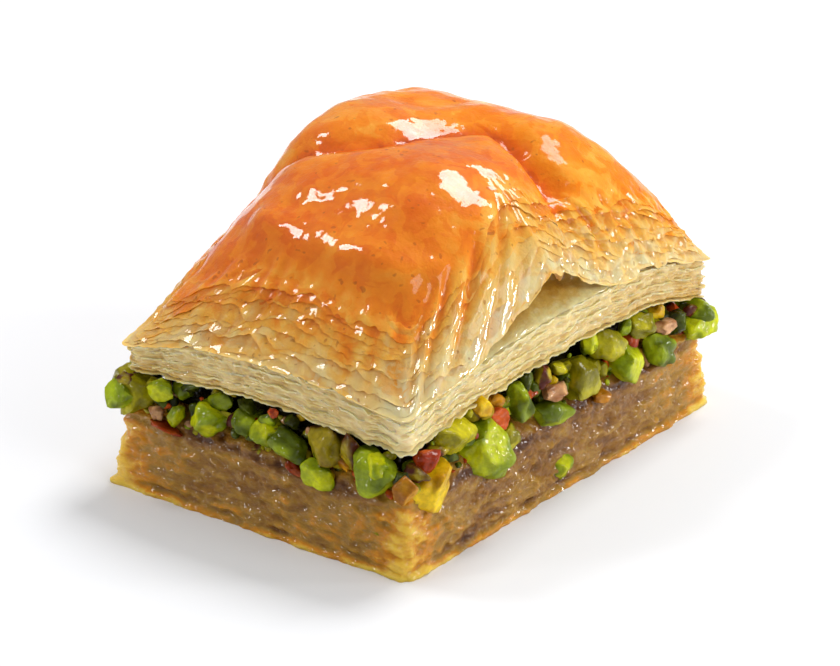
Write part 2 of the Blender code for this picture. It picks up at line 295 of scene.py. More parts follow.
@dataclass(frozen=True)
class LidForm:
    """The lid's large shape, with the same driving sizes as its solid.

    The crease's strength goes by the share of the fold passed. The fold's points and the lumps,
    each a height, a centre and a spread, are in millimetres.
    """

    outline: Outline = Outline(19.5 * MM, 28.6 * MM, middle_y=0.6 * MM)
    base: Outline = BASE_OUTLINE
    underside_height: float = 13.5 * MM
    back_droop: float = 1.3 * MM
    arch_rise: float = 2.6 * MM
    slab: float = 4.6 * MM
    thin_corner: float = 1.9 * MM
    pocket_height: float = 5.8 * MM
    pocket_apex: float = -2.5 * MM
    pocket_front: float = -18.5 * MM
    pocket_back: float = 12.5 * MM
    pocket_flare: float = 1.5
    peak: float = 35.7 * MM
    skin: float = 0.1 * MM
    crease_depth: float = 2.1 * MM
    crease_width: float = 1.9 * MM
    crease_share: tuple[Point2, ...] = (
        (0.0, 1.0), (0.3, 0.9), (0.45, 0.5), (0.6, 0.5), (0.75, 1.1), (1.0, 1.1)
    )
    fold: tuple[Point2, ...] = tuple(
        (x * MM, y * MM)
        for x, y in (
            (-17.0, -11.0), (-14.0, -8.4), (-11.0, -6.7), (-8.1, -6.0), (-5.7, -4.6), (-3.5, -2.9),
            (-2.1, -1.3), (-0.9, 1.1), (0.4, 4.0), (2.1, 6.6), (4.0, 7.7), (6.3, 7.1), (8.0, 6.2),
            (10.0, 5.6), (12.4, 5.0), (14.6, 4.2), (17.0, 4.0),
        )
    )
    lumps: tuple[tuple[float, Point2, Point2], ...] = (
        (1.4, (5.5, -8.5), (9.5, 8.5)),
        (1.0, (-11.5, 3.5), (7.0, 7.0)),
        (0.8, (6.0, 15.0), (8.0, 7.0)),
    )

    def share(self, x: float, y: float) -> Point2:
        """The (u, v) of a point, from -1 to 1 between opposite sides."""
        u, v = x / self.outline.half_x, (y - self.outline.middle_y) / self.outline.half_y
        return min(1.0, max(-1.0, u)), min(1.0, max(-1.0, v))

    def underside(self, x: float, y: float) -> float:
        """Reads the lid's underside, arched along the long side and drooping at the far end.

        Args:
            x: the place along X.
            y: the place along Y.

        Returns:
            Its height there.
        """
        u, v = self.share(x, y)
        along = max(0.0, math.cos(math.pi / 2 * v)) ** 0.5
        front = 0.55 * max(0.0, math.cos(math.pi / 2 * u)) * (1.0 + 0.3 * u) * smooth((1.0 - v) / 2)
        arch = along * (0.45 + 0.55 * smooth((u + 1.0) / 2)) + front * (1.0 - along)
        droop = self.back_droop * smooth((y / self.base.half_y - 0.55) / 0.45)
        return self.underside_height + self.arch_rise * arch - droop

    def thick(self, x: float, y: float) -> float:
        """The thickness of the pale leaves, less at the -X -Y corner."""
        u, v = self.share(x, y)
        return self.slab - self.thin_corner * smooth((-u - 0.4) / 0.6) * smooth((-v - 0.5) / 0.5)

    def slab_top(self, x: float, y: float) -> float:
        """The height of the top of the pale leaves."""
        return self.underside(x, y) + self.thick(x, y)

    def pocket(self, x: float, y: float) -> float:
        """Reads how open the pocket under the lifted leaf is.

        Args:
            x: the place along X.
            y: the place along Y.

        Returns:
            The opening, 0 where shut and 1 at its apex.
        """
        end = self.pocket_front if y < self.pocket_apex else self.pocket_back
        along = max(0.0, (y - end) / (self.pocket_apex - end)) ** self.pocket_flare
        return along * smooth((x / self.base.half_x - 0.35) / 0.6)

    def leaf_edge(self, x: float, y: float) -> float:
        """The height at which the golden leaves leave the pale ones."""
        return self.slab_top(x, y) + self.pocket_height * self.pocket(x, y)

    def dome(self, x: float, y: float) -> float:
        """Reads the browned crust: a steep-sided pillow of two lumps with a valley.

        The powers say how square the pillow is on each side: the larger, the flatter its top
        and the steeper its flank.

        Args:
            x: the place along X.
            y: the place along Y.

        Returns:
            Its height there.
        """
        u, v = self.share(x, y)
        if u > 0:
            across = (1.0 - u**3.6) ** 0.90
        else:
            across = (1.0 - abs(u) ** (3.0 + 4.2 * smooth((v + 0.45) / 0.45))) ** 0.88
        if v < 0:
            along = (1.0 - abs(v) ** 2.5) ** 1.15
        else:
            along = (1.0 - v**3.6) ** 0.85
        fill = across * along
        edge = self.leaf_edge(x, y)
        height = edge + (self.peak - edge) * fill
        for rise, (cx, cy), (sx, sy) in self.lumps:
            height += rise * MM * bump(x, y, (cx * MM, cy * MM), (sx * MM, sy * MM))
        gap, passed = line_gap(x, y, self.fold)
        width = self.crease_width * (1.5 if gap > 0 else 0.8)
        valley = band(gap, 0.6 * MM, width) * steps(passed, self.crease_share)
        height -= self.crease_depth * valley * fill**0.5
        return height + self.skin * fill


@dataclass
class Slopes:
    """The crust's surface, read by a turn round the outline and a way up from its lower edge.

    Its columns run up the slope from each turn to the middle, with their rings spaced evenly.
    """

    form: LidForm
    pitch: float = 0.27 * MM
    rings: int = 96
    samples: int = 56
    turns: list[float] = field(init=False)
    counts: list[int] = field(init=False)
    starts: list[int] = field(init=False)
    places: list[list[Vector]] = field(init=False)
    normals: list[list[Vector]] = field(init=False)
    lengths: list[float] = field(init=False)

    def __post_init__(self) -> None:
        """Walks every column from the outline to the middle."""
        outline = self.form.outline
        self.turns = outline.turns(self.pitch)
        self.counts = [sum(1 for t in self.turns if int(t) == side) for side in range(4)]
        self.starts = [sum(self.counts[:side]) for side in range(4)]
        self.places, self.lengths = [], []
        for turn in self.turns:
            u, v = outline.share(turn)
            line = []
            for k in range(self.samples + 1):
                share = 1.0 - (k / self.samples) ** 1.5
                x, y = u * share * outline.half_x, v * share * outline.half_y + outline.middle_y
                line.append(Vector((x, y, self.form.dome(x, y))))
            self.walk(line)
        self.normals = [self.directions(column) for column in range(len(self.turns))]

    def walk(self, line: Sequence[Vector]) -> None:
        """Adds one column.

        Args:
            line: points up the slope, closer together near its lower edge.
        """
        run = [0.0]
        for start, end in zip(line, line[1:]):
            run.append(run[-1] + (end - start).length)
        spaced, k = [], 0
        for ring in range(self.rings + 1):
            want = run[-1] * ring / self.rings
            while k < len(run) - 2 and run[k + 1] < want:
                k += 1
            spaced.append(line[k].lerp(line[k + 1], (want - run[k]) / (run[k + 1] - run[k])))
        self.places.append(spaced)
        self.lengths.append(run[-1])

    def directions(self, column: int) -> list[Vector]:
        """Works out which way is outwards along one column.

        Args:
            column: the column's number.

        Returns:
            The outward direction at each ring.
        """
        before = self.places[column - 1]
        after = self.places[(column + 1) % len(self.places)]
        line = self.places[column]
        found = []
        for ring in range(self.rings + 1):
            up = line[min(ring + 1, self.rings)] - line[max(ring - 1, 0)]
            normal = (after[ring] - before[ring]).cross(up)
            found.append(normal.normalized() if normal.length > 0 else Vector((0, 0, 1)))
        found[-1] = Vector((0, 0, 1))
        return found

    def column(self, turn: float) -> float:
        """The column number of a turn, between columns too."""
        side = int(turn) % 4
        return self.starts[side] + (turn % 1.0) * self.counts[side]

    def length(self, turn: float) -> float:
        """The length of the column at a turn."""
        return self.lengths[int(self.column(turn)) % len(self.lengths)]

    def at(self, turn: float, up: float) -> tuple[Vector, Vector]:
        """Reads the surface at a turn and a way up.

        Args:
            turn: the way round the outline.
            up: the distance up along the surface from its lower edge.

        Returns:
            The place and the outward direction there.
        """
        place = self.column(turn)
        left, share = int(place) % len(self.places), place % 1.0
        right = (left + 1) % len(self.places)
        found = []
        for column in (left, right):
            ring = min(max(up, 0.0) / self.lengths[column] * self.rings, self.rings - 1e-6)
            low, part = int(ring), ring % 1.0
            found.append(self.places[column][low].lerp(self.places[column][low + 1], part))
            found.append(self.normals[column][low].lerp(self.normals[column][low + 1], part))
        return found[0].lerp(found[2], share), found[1].lerp(found[3], share).normalized()


@dataclass
class Sheets:
    """Closed rings and panels of thin leaf, gathered in one mesh with a tone on every point."""

    name: str
    shape: bmesh.types.BMesh = field(default_factory=bmesh.new)
    tone: bmesh.types.BMLayerItem = field(init=False)

    def __post_init__(self) -> None:
        """Gives every point its tone."""
        self.tone = self.shape.verts.layers.float.new("tone")

    def ring(self, columns: int, rows: int, place: Callable[[int, int], Placed]) -> None:
        """Adds a closed ring of leaf.

        Args:
            columns: the points round the ring.
            rows: the strips across it.
            place: gives the point and the tone of a column and a row.
        """
        made = bmesh.ops.create_grid(self.shape, x_segments=columns, y_segments=rows, size=0.5)
        for vertex in made["verts"]:
            column = round((vertex.co.x + 0.5) * columns) % columns
            vertex.co, vertex[self.tone] = place(column, round((vertex.co.y + 0.5) * rows))

    def panel(self, across: int, rows: int, place: Callable[[float, float], Placed]) -> None:
        """Adds a panel of leaf.

        Args:
            across: the strips one way.
            rows: the strips the other way.
            place: gives the point and the tone at two shares from 0 to 1.
        """
        made = bmesh.ops.create_grid(self.shape, x_segments=across, y_segments=rows, size=0.5)
        for vertex in made["verts"]:
            vertex.co, vertex[self.tone] = place(vertex.co.x + 0.5, vertex.co.y + 0.5)

    def solid(self, columns: int, rows: Sequence[Callable[[int], Placed]]) -> None:
        """Adds a closed solid, a sphere whose rings of latitude are moved to their places.

        Args:
            columns: the points round each ring.
            rows: what gives the point and the tone of a column, from the lowest pole up.
        """
        made = bmesh.ops.create_uvsphere(
            self.shape, u_segments=columns, v_segments=len(rows) - 1, radius=1.0
        )
        for vertex in made["verts"]:
            latitude = math.asin(max(-1.0, min(1.0, vertex.co.z)))
            row = round((latitude / math.pi + 0.5) * (len(rows) - 1))
            column = round(math.atan2(vertex.co.y, vertex.co.x) / (2 * math.pi) * columns) % columns
            vertex.co, vertex[self.tone] = rows[row](column)

    def thicken(self, thickness: float) -> None:
        """Joins the rings' seams and gives every leaf its thickness."""
        bmesh.ops.remove_doubles(self.shape, verts=self.shape.verts, dist=SEAM)
        bmesh.ops.solidify(self.shape, geom=list(self.shape.faces), thickness=thickness)

    def piece(self, finish: bpy.types.Material, slot: str, node: str, sharp: float = 40.0) -> None:
        """Makes the gathered leaves one piece; its finish, node and sharp are the arguments of dress, and its
        slot is not used.
        """
        bmesh.ops.recalc_face_normals(self.shape, faces=self.shape.faces)
        dress(self.shape, self.name, finish, node, sharp)


@dataclass(frozen=True, kw_only=True)
class SyrupedFinish:
    """What the finishes share: a wrinkled body that light sinks into, under a coat of honey syrup.

    The syrup is a clear coat that carries the gloss over a dull body, and its ripples break the
    shine into glints. The glint is how high they stand.
    """

    name: str
    relief: float
    relief_strength: float
    sink: float
    sink_radius: Point3
    sink_depth: float
    ripple: float
    glint: float
    glaze: float
    dull: float = 0.34
    dull_shine: float = 0.04
    gloss: float = 0.05
    syrup_ior: float = 1.45

    def begin(self) -> tuple[bpy.types.Material, bpy.types.NodeSocket]:
        """Starts a material.

        Returns:
            The material and the socket that gives the place on its object.
        """
        material = bpy.data.materials.new(self.name)
        material.use_nodes = True
        return material, add_node(material, "ShaderNodeTexCoord").outputs["Object"]

    def end(
        self,
        material: bpy.types.Material,
        spot: bpy.types.NodeSocket,
        colour: bpy.types.NodeSocket,
        height: bpy.types.NodeSocket,
    ) -> None:
        """Gives a material its colour, its wrinkles, the light that sinks in and the syrup.

        Args:
            material: the material.
            spot: the socket that gives the place on its object.
            colour: the socket that gives its colour.
            height: the socket that gives its wrinkles.
        """
        wrinkles = add_node(
            material,
            "ShaderNodeBump",
            {"Height": height, "Distance": self.relief, "Strength": self.relief_strength},
        )
        ripples = add_node(
            material, "ShaderNodeTexNoise", {"Vector": spot, "Scale": 1 / self.ripple, "Detail": 1.0}
        )
        syrup = add_node(
            material, "ShaderNodeBump", {"Height": ripples.outputs["Fac"], "Distance": self.glint}
        )
        feed(
            material.node_tree.nodes["Principled BSDF"],
            {
                "Base Color": colour,
                "Normal": wrinkles.outputs["Normal"],
                "Roughness": self.dull,
                "Specular IOR Level": self.dull_shine,
                "Subsurface Weight": self.sink,
                "Subsurface Radius": self.sink_radius,
                "Subsurface Scale": self.sink_depth,
                "Coat Weight": self.glaze,
                "Coat Roughness": self.gloss,
                "Coat IOR": self.syrup_ior,
                "Coat Normal": syrup.outputs["Normal"],
            },
        )


@dataclass(frozen=True, kw_only=True)
class LeafFinish(SyrupedFinish):
    """Baked filo leaf brushed with butter and soaked with syrup.

    The tone attribute is how far it is baked, from cream at 0 to amber brown at 1. Blotches are
    uneven browning, patches are where syrup stuck leaf to leaf, and specks are scorched butter.
    The eye gets long bright highlights that break over fine wrinkles, on a glowing orange body.
    """

    name: str = "baked_filo_leaf"
    relief: float = 0.14 * MM
    relief_strength: float = 0.8
    sink: float = 0.35
    sink_radius: Point3 = (1.0, 0.5, 0.15)
    sink_depth: float = 1.5 * MM
    ripple: float = 1.9 * MM
    glint: float = 0.15 * MM
    glaze: float = 0.9
    gloss: float = 0.055
    stops: Stops = (
        (0.0, "#E6CC8E"),
        (0.22, "#EEBC6C"),
        (0.42, "#F2A23A"),
        (0.60, "#EE7E12"),
        (0.78, "#DE6004"),
        (1.0, "#A63A04"),
    )
    speck_colour: str = "#9C4A10"
    wrinkle: float = 0.55 * MM
    blotch: float = 1.6 * MM
    blotch_tone: float = 0.12
    patch: float = 3.2 * MM
    patch_tone: float = 0.04
    speck: float = 0.9 * MM
    front_glaze: float = 0.95
    back_glaze: float = 0.45

    def material(self) -> bpy.types.Material:
        """Builds the leaf's material, its syrup thinner towards the back.

        Returns:
            The material.
        """
        finish, spot = self.begin()
        baked = add_node(finish, "ShaderNodeAttribute", attribute_name="tone").outputs["Fac"]
        blotches = add_node(
            finish,
            "ShaderNodeTexNoise",
            {"Vector": spot, "Scale": 1 / self.blotch, "Detail": 4.0, "Roughness": 0.6},
        )
        patches = add_node(
            finish,
            "ShaderNodeTexNoise",
            {"Vector": spot, "Scale": 1 / self.patch, "Detail": 3.0, "Distortion": 0.8},
        )
        tone = {"To Min": -self.patch_tone, "To Max": self.patch_tone}
        stuck = add_node(
            finish,
            "ShaderNodeMapRange",
            {"Value": patches.outputs["Fac"], "From Min": 0.48, "From Max": 0.52, **tone},
        )
        shift = add_node(
            finish,
            "ShaderNodeMath",
            {0: blotches.outputs["Fac"], 1: 2 * self.blotch_tone, 2: -self.blotch_tone},
            operation="MULTIPLY_ADD",
        )
        shifts = add_node(
            finish, "ShaderNodeMath", {0: shift.outputs[0], 1: stuck.outputs[0]}, operation="ADD"
        )
        browned = add_node(
            finish, "ShaderNodeMath", {0: baked, 1: shifts.outputs[0]}, operation="ADD", use_clamp=True
        )
        colour = add_node(finish, "ShaderNodeValToRGB", {"Fac": browned.outputs[0]}, stops=self.stops)
        specks = add_node(
            finish, "ShaderNodeTexNoise", {"Vector": spot, "Scale": 1 / self.speck, "Detail": 1.0}
        )
        speck_share = add_node(
            finish,
            "ShaderNodeMapRange",
            {"Value": specks.outputs["Fac"], "From Min": 0.69, "From Max": 0.76, "To Max": 0.55},
        )
        speckled = add_node(
            finish,
            "ShaderNodeMix",
            {0: speck_share.outputs[0], 6: colour.outputs["Color"], 7: linear(self.speck_colour)},
            data_type="RGBA",
        )
        wrinkles = add_node(
            finish,
            "ShaderNodeTexNoise",
            {"Vector": spot, "Scale": 1 / self.wrinkle, "Detail": 5.0, "Roughness": 0.62},
        )
        self.end(finish, spot, speckled.outputs[2], wrinkles.outputs["Fac"])
        place = add_node(finish, "ShaderNodeSeparateXYZ", {"Vector": spot})
        share = {"To Min": self.front_glaze, "To Max": self.back_glaze}
        glaze = add_node(
            finish,
            "ShaderNodeMapRange",
            {"Value": place.outputs["Y"], "From Min": 3 * MM, "From Max": 9 * MM, **share},
        )
        feed(finish.node_tree.nodes["Principled BSDF"], {"Coat Weight": glaze.outputs[0]})
        return finish


@dataclass(frozen=True, kw_only=True)
class SoakedFinish(SyrupedFinish):
    """Pressed filo leaves soaked through with honey syrup.

    The tone attribute is how deep the syrup stands, from straw at 0 to dark caramel at 1. The
    eye gets a wet, glowing body whose grain lies flat, with small sparks of light all over it.
    """

    stops: Stops
    relief: float = 0.22 * MM
    relief_strength: float = 0.85
    sink: float = 0.45
    sink_radius: Point3 = (1.0, 0.7, 0.25)
    sink_depth: float = 1.6 * MM
    ripple: float = 1.15 * MM
    glint: float = 0.50 * MM
    glaze: float = 0.75
    blotch: float = 1.4 * MM
    blotch_tone: float = 0.30
    wrinkle: float = 0.5 * MM
    flatness: float = 2.2

    def material(self) -> bpy.types.Material:
        """Builds the soaked pastry's material.

        Returns:
            The material.
        """
        finish, place = self.begin()
        flat = add_node(finish, "ShaderNodeMapping", {"Vector": place, "Scale": (1.0, 1.0, self.flatness)})
        spot = flat.outputs[0]
        soaked = add_node(finish, "ShaderNodeAttribute", attribute_name="tone").outputs["Fac"]
        blotches, wrinkles = (
            add_node(
                finish,
                "ShaderNodeTexNoise",
                {"Vector": spot, "Scale": 1 / pitch, "Detail": 5.0, "Roughness": 0.65},
            )
            for pitch in (self.blotch, self.wrinkle)
        )
        shift = add_node(
            finish,
            "ShaderNodeMath",
            {0: blotches.outputs["Fac"], 1: 2 * self.blotch_tone, 2: -self.blotch_tone},
            operation="MULTIPLY_ADD",
        )
        depth = add_node(
            finish, "ShaderNodeMath", {0: soaked, 1: shift.outputs[0]}, operation="ADD", use_clamp=True
        )
        colour = add_node(finish, "ShaderNodeValToRGB", {"Fac": depth.outputs[0]}, stops=self.stops)
        self.end(finish, place, colour.outputs["Color"], wrinkles.outputs["Fac"])
        return finish


@dataclass(frozen=True, kw_only=True)
class KernelFinish(SyrupedFinish):
    """Chopped raw pistachio kernel, damp with syrup; the shade attribute holds its colour.

    The eye gets waxy green flesh with a fine grain, and a soft shine on its rounded edges.
    """

    name: str = "chopped_pistachio"
    relief: float = 0.12 * MM
    relief_strength: float = 0.8
    sink: float = 0.25
    sink_radius: Point3 = (1.0, 0.8, 0.2)
    sink_depth: float = 0.8 * MM
    ripple: float = 0.9 * MM
    glint: float = 0.32 * MM
    glaze: float = 0.50
    dull: float = 0.45
    grain: float = 0.7 * MM
    darkest: float = 0.72
    brightest: float = 1.22

    def material(self) -> bpy.types.Material:
        """Builds the kernel's material.

        Returns:
            The material.
        """
        finish, spot = self.begin()
        shade = add_node(finish, "ShaderNodeAttribute", attribute_name="shade").outputs["Color"]
        grain = add_node(
            finish,
            "ShaderNodeTexNoise",
            {"Vector": spot, "Scale": 1 / self.grain, "Detail": 4.0, "Roughness": 0.6},
        )
        share = {"To Min": self.darkest, "To Max": self.brightest}
        value = add_node(
            finish,
            "ShaderNodeMapRange",
            {"Value": grain.outputs["Fac"], "From Min": 0.3, "From Max": 0.7, **share},
        )
        colour = add_node(
            finish, "ShaderNodeHueSaturation", {"Color": shade, "Value": value.outputs[0]}
        )
        self.end(finish, spot, colour.outputs["Color"], grain.outputs["Fac"])
        return finish


@dataclass
class GoldenLeaves:
    """The stepped leaves of the slopes, each drawn under the next, and the crust over them all.

    Every table goes by the turn round the lid. The crust's edge is in millimetres up the slope,
    and a tier is the share of that way at which a leaf starts.
    """

    slopes: Slopes
    finish: bpy.types.Material
    thickness: float = 0.055 * MM
    rows: int = 6
    reach: float = 3.0 * MM
    drop: float = 0.12 * MM
    curl: float = 0.30 * MM
    ripple: float = 0.025 * MM
    crumple: float = 0.34 * MM
    layer: float = 0.004 * MM
    pleat_pitch: float = 3.4 * MM
    pleat_top: float = 14.0 * MM
    crust_thickness: float = 0.16 * MM
    crust_across: int = 156
    crust_along: int = 222
    core_depth: float = 1.6
    core_pocket_depth: float = 4.6
    core_slopes: int = 16
    core_gap: float = 0.5 * MM
    core_tones: Point2 = (0.35, 0.40)
    tiers: tuple[float, ...] = (0.0, 0.06, 0.17, 0.30, 0.42, 0.55, 0.66, 0.79, 0.90)
    crust_edge: tuple[Point2, ...] = (
        (0.0, 7.4), (0.25, 8.2), (0.5, 8.6), (0.75, 8.4), (0.9, 8.8), (1.0, 9.2), (1.1, 8.8), (1.2, 9.6),
        (1.3, 10.4), (1.37, 10.8), (1.47, 9.4), (1.56, 9.6), (1.67, 9.2), (1.8, 9.0), (1.9, 8.6), (2.0, 7.2),
        (2.3, 7.8), (2.7, 7.6), (3.0, 6.4), (3.3, 7.6), (3.7, 7.0), (4.0, 7.4),
    )
    crumples: tuple[Point2, ...] = (
        (0.0, 0.45), (0.9, 0.4), (1.05, 0.2), (1.42, 0.2), (1.52, 1.2), (1.95, 1.2), (2.1, 0.7), (4.0, 0.45)
    )
    slants: tuple[Point2, ...] = ((0.95, 0.0), (1.1, 0.7), (1.42, 0.8), (1.55, 0.0))
    soaking: tuple[Point2, ...] = ((0.80, 1.0), (0.97, 0.45), (1.03, 0.45), (1.12, 1.0))
    pleats: tuple[Point2, ...] = ((0.97, 1.0), (1.1, 1.8), (1.42, 1.8), (1.55, 0.8), (2.0, 0.8), (2.1, 1.0))
    toasting: tuple[Point2, ...] = (
        (0.0, 0.10), (0.8, 0.10), (1.0, -0.16), (1.1, -0.06), (1.6, -0.05), (1.9, 0.04), (2.2, 0.10),
        (4.0, 0.10),
    )
    ripples: tuple[Point2, ...] = (
        (0.0, 0.5), (0.9, 0.5), (1.05, 0.7), (1.5, 1.0), (1.6, 2.0), (1.95, 2.0), (2.1, 1.0), (4.0, 0.5)
    )
    brow: tuple[Point2, ...] = (
        (-8.6 * MM, -16.3 * MM), (-3.8 * MM, -17.7 * MM), (3.6 * MM, -18.1 * MM), (10.6 * MM, -17.6 * MM)
    )

    def edge(self, turn: float) -> float:
        """How far up the slope the crust ends."""
        return steps(turn % 4.0, self.crust_edge) * MM

    def pleat(self, turn: float, up: float) -> float:
        """Reads the pleats that all the leaves share, upright or slanting down the face.

        Args:
            turn: the way round the lid.
            up: the way up the slope.

        Returns:
            How far they stand out there.
        """
        x, y = self.slopes.form.outline.point(turn)
        y -= up * steps(turn % 4.0, self.slants)
        fade = smooth(up / (1.5 * MM)) * smooth((self.pleat_top - up) / (5.0 * MM))
        phase = noise.noise(Vector((x / (5 * MM), y / (5 * MM), 3.1))) * 2.6
        width = steps(turn % 4.0, self.pleats)
        broad = math.sin(2 * math.pi * (x + y) / (self.pleat_pitch * width) + phase)
        broad *= 0.6 + wavy(x, y, 6.0, 6.0 * MM)
        fine = wavy(x, y, 5.0 + up / (9.0 * MM), 1.1 * MM * width)
        return fade * MM * (0.15 * width * broad + 0.14 * fine)

    def crumpled(self, point: Vector, turn: float, up: float) -> float:
        """Reads the crumpling that all the leaves share, which ends above the crust's edge.

        Args:
            point: the place on the slope.
            turn: the way round the lid.
            up: the way up the slope.

        Returns:
            How far it stands out there.
        """
        share = steps(turn % 4.0, self.crumples) * smooth((self.edge(turn) + 2.5 * MM - up) / (3.0 * MM))
        ridges = abs(rough(point, 2.6 * MM, 2)) * 1.2 + 0.5 * rough(point, 1.1 * MM, 2)
        return self.crumple * share * ridges

    def leaf_point(self, tier: int, column: int, row: int) -> Placed:
        """Places a point of one stepped leaf: a torn, curling edge that dives under the next leaf.

        Args:
            tier: the leaf's number from below.
            column: the point's number round the lid.
            row: its number up the leaf.

        Returns:
            The point and its tone.
        """
        form, turn = self.slopes.form, self.slopes.turns[column]
        here = self.tiers[tier]
        after = self.tiers[tier + 1] if tier + 1 < len(self.tiers) else 1.0
        x, y = form.outline.point(turn)
        total = self.edge(turn)
        ragged = 1.00 * wavy(x, y, 20 + tier, 3.0 * MM) + 0.34 * wavy(x, y, 40 + tier, 0.9 * MM)
        drift = 0.15 * wavy(x, y, 70 + tier, 7.0 * MM) if tier else 0.0
        start = max(-0.2 * MM, total * (here + drift) + ragged * MM)
        share = row / self.rows
        up = start + self.reach * share**1.4
        point, normal = self.slopes.at(turn, max(up, 0.0))
        if up < 0.0:
            point = point + Vector((normal.x, normal.y, 0.0)) * -up
        shown = max(0.5 * MM, total * (after - here))
        dive = smooth((up - start) / (1.6 * shown))
        free = (1.0 - share) ** 2
        wave = self.ripple * steps(turn, self.ripples)
        lift = self.curl * free * max(0.0, wavy(x, y, 60 + tier, 2.0 * MM) - 0.06)
        lift += free * wave * wavy(x, y, 80 + tier, 1.7 * MM)
        lift += self.pleat(turn, up) + self.crumpled(point, turn, up)
        lift -= self.drop * steps(turn, self.soaking) * dive
        lift += self.layer * tier
        baked = 0.12 + 0.60 * up / (12.0 * MM)
        if 1 <= turn < 2:
            baked += 0.25 * form.pocket(form.outline.half_x, y) * smooth(1.0 - up / (1.2 * MM))
        baked += steps(turn, self.toasting)
        # Painted shade: the pleats' grooves get a darker tone and their ridges a paler one.
        baked += 0.20 * wavy(x, y, 90 + tier, 2.8 * MM) - 0.4 * self.pleat(turn, up) / MM
        return point + normal * lift, baked

    def crust_point(self, across: float, along: float) -> Placed:
        """Places a point of the crust, whose panel is drawn round from its middle to its torn edge.

        Args:
            across: the share from 0 to 1 across the lid.
            along: the share from 0 to 1 along the lid.

        Returns:
            The point and its tone.
        """
        a, b = 2 * across - 1, 2 * along - 1
        rho = max(abs(a), abs(b), 1e-9)
        if abs(b) >= abs(a):
            turn = (a / rho + 1) / 2 if b < 0 else 2 + (1 - a / rho) / 2
        else:
            turn = 1 + (b / rho + 1) / 2 if a > 0 else 3 + (1 - b / rho) / 2
        turn = min(turn, 4 - 1e-6)
        x, y = self.slopes.form.outline.point(turn)
        ragged = wavy(x, y, 10, 5.5 * MM) + 0.5 * wavy(x, y, 11, 2.0 * MM) + 0.25 * wavy(x, y, 12, 0.7 * MM)
        low = self.edge(turn) + ragged * MM
        up = mix(self.slopes.length(turn), low, rho)
        point, normal = self.slopes.at(turn, up)
        near_edge = smooth(1.0 - (up - low) / (3.0 * MM))
        lift = self.pleat(turn, up) + self.crumpled(point, turn, up) + self.relief(point) * (1.0 - near_edge)
        lift += 0.05 * MM * near_edge
        lift += 0.5 * self.curl * near_edge**3 * max(0.0, wavy(x, y, 13, 3.0 * MM))
        return point + normal * lift, self.baked(point, turn, up, low)

    def relief(self, point: Vector) -> float:
        """Reads the crust's own bumps: the fold's thin lip, broad bubbles and fine wrinkles.

        Args:
            point: the place on the crust.

        Returns:
            How far they stand out there.
        """
        gap, _ = line_gap(point.x, point.y, self.slopes.form.fold)
        lip = 0.32 * band(gap, -0.40 * MM, 0.70 * MM)
        hollow = 0.30 * (1.0 - math.exp(-gap / (0.30 * MM))) * math.exp(-gap / (1.4 * MM)) if gap > 0 else 0.0
        brow, _ = line_gap(point.x, point.y, self.brow)
        ridge = 0.75 * band(brow, 0.0, 2.0 * MM)
        broad = 0.42 * rough(point + Vector((0.3, 0.1, 0.2)), 6.5 * MM, 2)
        ridged = 0.08 * abs(rough(point, 2.6 * MM, 2))
        fine = 0.025 * rough(point, 0.9 * MM, 2)
        return (lip - hollow + ridge + broad - ridged + fine) * MM

    def baked(self, point: Vector, turn: float, up: float, low: float) -> float:
        """Reads the crust's tone: how far it is baked, with painted shade darkening the fold's hollow and the
        pleats' grooves, and paler behind the fold.

        Args:
            point: the place on the crust.
            turn: the way round the lid.
            up: the way up the slope.
            low: the way up at which the crust ends.

        Returns:
            The tone there.
        """
        gap, _ = line_gap(point.x, point.y, self.slopes.form.fold)
        tone = mix(0.58, 0.70, smooth((up - low) / (4.5 * MM)))
        tone += 0.10 * rough(point + Vector((0.1, 0.4, 0.2)), 5.0 * MM, 2)
        # Painted shade: the pleats' grooves get a darker tone and their ridges a paler one.
        tone -= 0.5 * self.pleat(turn, up) / MM
        # Painted shade in the fold's hollow.
        tone += 0.20 * band(gap, 0.9 * MM, 1.1 * MM)
        back = smooth((gap - 1.0 * MM) / (4.0 * MM))
        return tone - 0.10 * back - 0.06 * (1.0 - back) * smooth(point.x / (14.0 * MM))

    def core_inset(self, turn: float) -> float:
        """How far in the lid's crumb stands, in millimetres, deeper behind the pocket."""
        opened = self.slopes.form.pocket(*self.slopes.form.outline.point(turn))
        return self.core_depth + self.core_pocket_depth * opened

    def core_flat(self, share: float, top: bool, column: int) -> Placed:
        """Places a point of the crumb's flat part, inside the slab.

        Args:
            share: how far out from the middle it lies.
            top: whether it is under the slab's top, or else over its underside.
            column: the point's number round the lid.

        Returns:
            The point and its tone.
        """
        form, turn = self.slopes.form, self.slopes.turns[2 * column]
        x, y = form.outline.point(turn, self.core_inset(turn) * MM)
        middle = form.outline.middle_y
        x, y = x * share, (y - middle) * share + middle
        height = form.slab_top(x, y) - self.core_gap if top else form.underside(x, y) + self.core_gap
        return Vector((x, y, height)), self.core_tones[0]

    def core_slope(self, share: float, column: int) -> Placed:
        """Places a point of the crumb under the slopes, deeper behind the pocket.

        Args:
            share: how far up the slope it lies.
            column: the point's number round the lid.

        Returns:
            The point and its tone.
        """
        turn = self.slopes.turns[2 * column]
        opened = (self.core_inset(turn) - self.core_depth) / self.core_pocket_depth
        up = mix(mix(1.4, 5.0, opened) * MM, self.slopes.length(turn), share)
        point, normal = self.slopes.at(turn, up)
        return point - normal * mix(mix(0.9, 3.2, opened), 0.9, share) * MM, self.core_tones[1]

